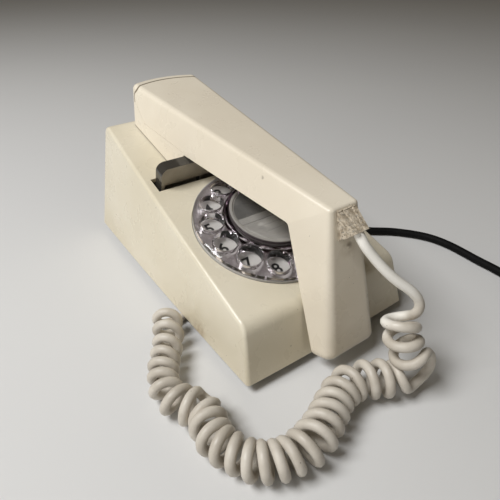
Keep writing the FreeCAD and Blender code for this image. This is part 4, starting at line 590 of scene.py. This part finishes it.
def winding(number):
    """Turns wound up to a loop's number, and the number of the place they are wound round.

    At a flip the wire runs past its loop's front, bends round in a half circle and comes back over the
    next loop."""
    way, wound, last = 1, 0, 0
    for flip, lead, bend in FLIPS:
        if number <= flip:
            break
        wound += way * (flip - last)
        part = 3 * (number - flip)    # past the front, round the bend, and back
        if part < 3:
            share = min(max(part - 1, 0), 1)
            past = lead * min(part, 1, 3 - part) + bend * math.sin(math.pi * share)
            return wound + way * past, flip + (1 - math.cos(math.pi * share)) / 2
        way, last = -way, flip + 1
    return wound + way * (number - last), number


def curl_points(loops):
    """The wire's points: one turn is wound from each loop to the next, round the line of their centres."""
    line = route_points([put(*loop[:3]) for loop in loops], AXIS_STEPS)
    numbers, sizes, across, along = [], [], [], []
    side, last = LOOP_FRONT, line[1] - line[0]
    for i in range(len(line)):
        # Which loop this point of the line is nearest to, in parts: the line's spline has order 3
        knot = (len(loops) - 2) * i / (len(line) - 1)
        place = max(min(2 * knot, knot + 0.5), 2 * knot - len(loops) + 3)
        at = min(int(place), len(loops) - 2)
        size, number = (loops[at][k] + (loops[at + 1][k] - loops[at][k]) * (place - at) for k in (3, 4))
        heading = (line[min(i + 1, len(line) - 1)] - line[max(i - 1, 0)]).normalized()
        side = last.rotation_difference(heading) @ side
        side = (side - heading * side.dot(heading)).normalized()
        last = heading
        numbers.append(number)
        sizes.append(size * MM)
        across.append(side)
        along.append(heading)
    turns = []
    for number in numbers:
        wound, place = winding(number)
        i = min(bisect.bisect_left(numbers, place), len(line) - 1)
        turn = 2 * math.pi * wound
        out = across[i] * math.cos(turn) - along[i].cross(across[i]) * math.sin(turn)
        spot = line[i] + out * sizes[i]
        if not turns or (spot - turns[-1]).length >= POINT_GAP:
            turns.append(spot)
    return turns


cord_route = [put(*p) for p in TAIL] + curl_points(LOOPS) + [put(*p) for p in BASE_TAIL]
cord_path = route_points(cord_route, WIRE_STEPS)
curly_cord = new_piece("curly_cord", smooth(route_curve(cord_route, WIRE_STEPS, WIRE)), "cord_grey")
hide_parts("handset_cord_tail", "handset_cord_curl", "handset_cord_base_tail")
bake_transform(curly_cord)

# Line cord, from the rear gland to its tied coil and plug, in millimetres
LINE_D, LINE_STEPS = 5.0, 5
LINE = [(18, 113.9, 12.3), (18, 124, 12.3), (19.2, 135, 9.8), (24, 145.5, 6.2), (33, 153.5, 3.4),
        (45, 156, 2.6), (57.5, 152, 2.6), (68, 143, 2.6), (77, 127, 2.6), (83, 106, 2.6), (86, 82, 2.6),
        (86, 57, 2.6), (84.8, 31, 2.6), (84.6, 8, 2.6), (86.6, -9, 2.6), (90.6, -19.5, 2.6),
        (95.6, -26.4, 2.6), (101.4, -30.6, 2.6), (107.9, -35.6, 2.6), (113.3, -41.6, 2.6),
        (118.6, -48.2, 2.6), (123.8, -57.2, 2.6), (126.2, -68, 2.6), (126.4, -79.4, 2.6),
        (125.8, -91.4, 2.6), (126.4, -103, 2.6), (124.8, -118, 2.8), (121.2, -134, 3.2)]
COIL_AT, COIL_R, COIL_Z = (150.0, -146.0), 28.0, 3.45
COIL_FROM, COIL_TO, COIL_STEP = 15.0, 360 * 7 - 20, 22.5     # degrees along the coil
TURN_GAP = 1.02                                              # between its turns, in cord diameters
# Moves to the next turn: after how many turns, from which angle on, and which way
COIL_MOVES = ((1, 60, "in"), (2, 20, "up"), (3, -20, "out"), (4, -60, "up"), (5, -100, "in"),
              (6, -140, "up"), (7, -180, "out"))
MOVE_SECTOR = 40
# From the coil's top down to the plug: radius, angle and height
COIL_TAIL = ((33.5, 186, 18.6), (38.0, 212, 16.5), (41.0, 240, 11.5), (43.5, 268, 6.5), (45.5, 292, 4.4))
PLUG_R, PLUG_ANGLE, PLUG_Z = 39.4, 10.0, 4.4
PLUG_LEAD, PLUG_BOOT_END, PLUG_INSIDE = 29.0, 20.0, 15.0     # places behind the plug's middle


def round_coil(r, angle, z):
    """A place by its distance and its angle from the coil's middle, and its height."""
    turn = math.radians(angle)
    return (COIL_AT[0] + r * math.cos(turn), COIL_AT[1] + r * math.sin(turn), z)


def coil_points():
    """The coil's turns, two wide and four high: each step in, up or out has a sector of its own."""
    points = []
    angle = COIL_FROM
    while angle <= COIL_TO:
        across, rise = 1.0, 0.0
        for turn, at, way in COIL_MOVES:
            share = min(max((angle - turn * 360 - at) / MOVE_SECTOR, 0.0), 1.0)
            share = share * share * (3 - 2 * share)
            across += {"in": -2, "out": 2, "up": 0}[way] * share
            rise += share if way == "up" else 0.0
        gap = LINE_D * TURN_GAP
        points.append(round_coil(COIL_R + across * gap / 2, angle + 180, COIL_Z + rise * gap))
        angle += COIL_STEP
    return points


def behind_plug(distance):
    """A place on the plug's own line, on the cord's side of its middle."""
    x, y, z = round_coil(PLUG_R, PLUG_ANGLE, PLUG_Z)
    turn = math.radians(PLUG_ANGLE)
    return (x + distance * math.sin(turn), y - distance * math.cos(turn), z)


coil_tail = [round_coil(*spot) for spot in COIL_TAIL]
plug_end = [behind_plug(distance) for distance in (PLUG_LEAD, PLUG_BOOT_END, PLUG_INSIDE)]
line_route = [put(*p) for p in LINE + coil_points() + coil_tail + plug_end]
line_path = route_points(line_route, LINE_STEPS)
line_cord = new_piece("black_line_cord", smooth(route_curve(line_route, LINE_STEPS, LINE_D * MM)),
                      "black_rubber", "base")
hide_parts("line_cord", "line_cord_coil")

# Digits printed on the number ring, upright for the caller, in millimetres
DIGIT_SIZE, DIGIT_WEIGHT, DIGIT_THICK = 9.2, 0.2, 0.02
DIGIT_CIRCLE, DIGIT_LIFT = 32.6, 0.92


def digit_mesh():
    """The ten digits as one mesh, each below its finger hole at rest."""
    work = bmesh.new()
    for index in range(HOLES):
        text = bpy.data.curves.new("digit", "FONT")
        text.body = str((index + 1) % 10)
        text.align_x, text.align_y = "CENTER", "CENTER"
        text.size = DIGIT_SIZE * MM
        text.offset = DIGIT_WEIGHT * MM
        text.extrude = DIGIT_THICK * MM
        mesh = as_mesh(bpy.data.objects.new("digit", text))
        turn = math.radians(FIRST_HOLE + HOLE_PITCH * index)
        spot = Vector((math.cos(turn), math.sin(turn), 0)) * DIGIT_CIRCLE * MM
        spot.z = DIGIT_LIFT * MM
        mesh.transform(DIAL_PLACE @ Matrix.Translation(spot))
        work.from_mesh(mesh)
    digits = bpy.data.meshes.new("dial_digits")
    work.to_mesh(digits)
    work.free()
    return digits


new_piece("dial_digits", digit_mesh(), "black_plastic", "base")

# Repeats, by node trees
SOCKET_KINDS = {int: "NodeSocketInt", float: "NodeSocketFloat", Vector: "NodeSocketVector"}


def repeat_tree(name, sizes):
    """An empty tree with one input for each size, its inputs and its output."""
    tree = bpy.data.node_groups.new(name, "GeometryNodeTree")
    tree.interface.new_socket("Geometry", in_out="OUTPUT", socket_type="NodeSocketGeometry")
    for size, value in sizes.items():
        tree.interface.new_socket(size, in_out="INPUT", socket_type=SOCKET_KINDS[type(value)])
    return tree, tree.nodes.new("NodeGroupInput").outputs, tree.nodes.new("NodeGroupOutput").inputs


def grown(name, tree, sizes, slot_name, body):
    """Runs a tree on an empty mesh with these sizes and keeps the result as a plain mesh."""
    holder = bpy.data.objects.new(name + "_source", bpy.data.meshes.new(name + "_source"))
    modifier = holder.modifiers.new("repeat", "NODES")
    modifier.node_group = tree
    for item in tree.interface.items_tree:
        if item.in_out == "INPUT":
            modifier[item.identifier] = sizes[item.name]
    return new_piece(name, smooth(as_mesh(holder)), slot_name, body)


def ring_mesh(tree, radius, bead, steps, bead_steps):
    """A round bead bent into a ring."""
    edge = add(tree, "GeometryNodeCurvePrimitiveCircle", Resolution=steps, Radius=radius)
    bead = add(tree, "GeometryNodeCurvePrimitiveCircle", Resolution=bead_steps, Radius=bead)
    ring = add(tree, "GeometryNodeCurveToMesh", Curve=edge.outputs[0], Profile_Curve=bead.outputs[0])
    return ring.outputs[0]


def finish_tree(tree, rings, material, place, turn, out):
    """Makes the rings one mesh, with its finish, in its place."""
    real = add(tree, "GeometryNodeRealizeInstances", Geometry=rings.outputs[0])
    finished = add(tree, "GeometryNodeSetMaterial", Geometry=real.outputs[0], Material=material)
    moved = add(tree, "GeometryNodeTransform", Geometry=finished.outputs[0], Translation=place,
                Rotation=turn)
    tree.links.new(moved.outputs[0], out[0])


def lips_tree(sizes):
    """A rounded lip on the edge of each finger hole, leaning with the plate's cone."""
    tree, given, out = repeat_tree("finger_hole_lips", sizes)
    index = tree.nodes.new("GeometryNodeInputIndex").outputs[0]
    turn = sums(tree, "ADD", given["First turn"], product(tree, index, given["Step"]))
    x = product(tree, sums(tree, "COSINE", turn), given["Circle"])
    y = product(tree, sums(tree, "SINE", turn), given["Circle"])
    place = add(tree, "ShaderNodeCombineXYZ", X=x, Y=y, Z=given["Lift"])
    spots = add(tree, "GeometryNodePoints", Count=given["Holes"], Position=place.outputs[0])
    ring = ring_mesh(tree, given["Hole"], given["Lip"], steps=56, bead_steps=10)
    lean = add(tree, "ShaderNodeCombineXYZ", Y=given["Lean"], Z=turn)
    rings = add(tree, "GeometryNodeInstanceOnPoints", Points=spots.outputs[0], Instance=ring,
                Rotation=lean.outputs[0])
    finish_tree(tree, rings, finishes["clear_mauve"], given["Dial centre"], given["Tilt"], out)
    return tree


lip_sizes = {"Holes": HOLES, "First turn": math.radians(FIRST_HOLE), "Step": math.radians(HOLE_PITCH),
             "Circle": HOLE_CIRCLE * MM, "Hole": (HOLE_R + 0.12) * MM, "Lip": 0.34 * MM,
             "Lift": 6.16 * MM, "Lean": math.radians(9.67), "Dial centre": DIAL_AT,
             "Tilt": Vector((TOP_TILT, 0, 0))}
grown("finger_hole_lips", lips_tree(lip_sizes), lip_sizes, "clear_mauve", "dial")


def ribs_tree(sizes):
    """Ribs round the line cord's gland, each a little smaller than the one before."""
    tree, given, out = repeat_tree("gland_ribs", sizes)
    index = tree.nodes.new("GeometryNodeInputIndex").outputs[0]
    place = add(tree, "ShaderNodeCombineXYZ", Y=product(tree, index, given["Spacing"]))
    spots = add(tree, "GeometryNodePoints", Count=given["Ribs"], Position=place.outputs[0])
    ring = ring_mesh(tree, given["Radius"], given["Bead"], steps=40, bead_steps=8)
    size = sums(tree, "SUBTRACT", 1.0, product(tree, index, given["Taper"]))
    scale = add(tree, "ShaderNodeCombineXYZ", X=size, Y=size, Z=size)
    stand = add(tree, "ShaderNodeCombineXYZ", X=math.pi / 2)
    rings = add(tree, "GeometryNodeInstanceOnPoints", Points=spots.outputs[0], Instance=ring,
                Rotation=stand.outputs[0], Scale=scale.outputs[0])
    finish_tree(tree, rings, finishes["black_rubber"], given["First rib"], given["Turn"], out)
    return tree


rib_sizes = {"Ribs": 6, "Spacing": 2.9 * MM, "Radius": 4.1 * MM, "Bead": 0.55 * MM, "Taper": 0.035,
             "First rib": put(18, 95.5, 12.3), "Turn": Vector((0, 0, 0))}
grown("gland_ribs", ribs_tree(rib_sizes), rib_sizes, "black_rubber", "base")

# Stage, light and camera: places in metres, the lens and sensor in millimetres
FLOOR_HALF, FLOOR_Z = 4.0, -0.0003
WORLD_COLOUR, WORLD_STRENGTH = (1.0, 0.85, 0.62, 1.0), 0.08
LAMP_AIM, LAMP_SIZE = Vector((0.0, -0.03, 0.05)), 0.5
CAMERA_AT, CAMERA_LENS, SENSOR_WIDTH = put(-130.774, -200.521, 174.623), 33.12, 36.0
CAMERA_TURN, CAMERA_RISE, CAMERA_ROLL = (math.radians(v) for v in (-35.472, 34.623, 0.165))


def pale_floor():
    mesh = bpy.data.meshes.new("floor")
    corners = [(x * FLOOR_HALF, y * FLOOR_HALF, FLOOR_Z) for x, y in ((-1, -1), (1, -1), (1, 1), (-1, 1))]
    mesh.from_pydata(corners, [], [(0, 1, 2, 3)])
    material, tree, shader, coords = new_finish("pale_floor", Roughness=0.7)
    colour = blend_colour(tree, grain(tree, coords, 3.0), (0.66, 0.66, 0.66, 1), (0.7, 0.7, 0.69, 1))
    tree.links.new(colour, shader.inputs["Base Color"])
    mesh.materials.append(material)
    piece = bpy.data.objects.new("floor", mesh)
    scene.collection.objects.link(piece)
    return piece


def soft_lamp(name, place, watts):
    """A square lamp that points at the telephone."""
    lamp = bpy.data.lights.new(name, "AREA")
    lamp.size = LAMP_SIZE
    lamp.energy = watts
    lamp_object = bpy.data.objects.new(name, lamp)
    lamp_object.location = place
    lamp_object.rotation_euler = (LAMP_AIM - Vector(place)).to_track_quat("-Z", "Y").to_euler()
    scene.collection.objects.link(lamp_object)


def photo_camera():
    """The photograph's view, fitted to the case's straight edges."""
    view = bpy.data.cameras.new("photo_view")
    view.sensor_width = SENSOR_WIDTH
    view.sensor_fit = "HORIZONTAL"
    view.lens = CAMERA_LENS
    view.clip_start = 0.01
    level = math.cos(CAMERA_RISE)
    back = Vector((math.sin(CAMERA_TURN) * level, -math.cos(CAMERA_TURN) * level, math.sin(CAMERA_RISE)))
    flat_right = Vector((math.cos(CAMERA_TURN), math.sin(CAMERA_TURN), 0.0))
    flat_up = back.cross(flat_right)
    right = flat_right * math.cos(CAMERA_ROLL) + flat_up * math.sin(CAMERA_ROLL)
    up = flat_up * math.cos(CAMERA_ROLL) - flat_right * math.sin(CAMERA_ROLL)
    stand = Matrix((right, up, back)).transposed().to_4x4()
    stand.translation = CAMERA_AT
    camera = bpy.data.objects.new("photo_view", view)
    camera.matrix_world = stand
    scene.collection.objects.link(camera)
    return camera


floor = pale_floor()
world = bpy.data.worlds.new("studio")
world.use_nodes = True
background = world.node_tree.nodes["Background"]
background.inputs["Color"].default_value = WORLD_COLOUR
background.inputs["Strength"].default_value = WORLD_STRENGTH
scene.world = world
soft_lamp("key", (-0.64, 0.1, 0.98), 12.2)
soft_lamp("fill", (-0.7, -0.3, 0.28), 0.9)
scene.camera = photo_camera()
scene.view_settings.view_transform = "Standard"
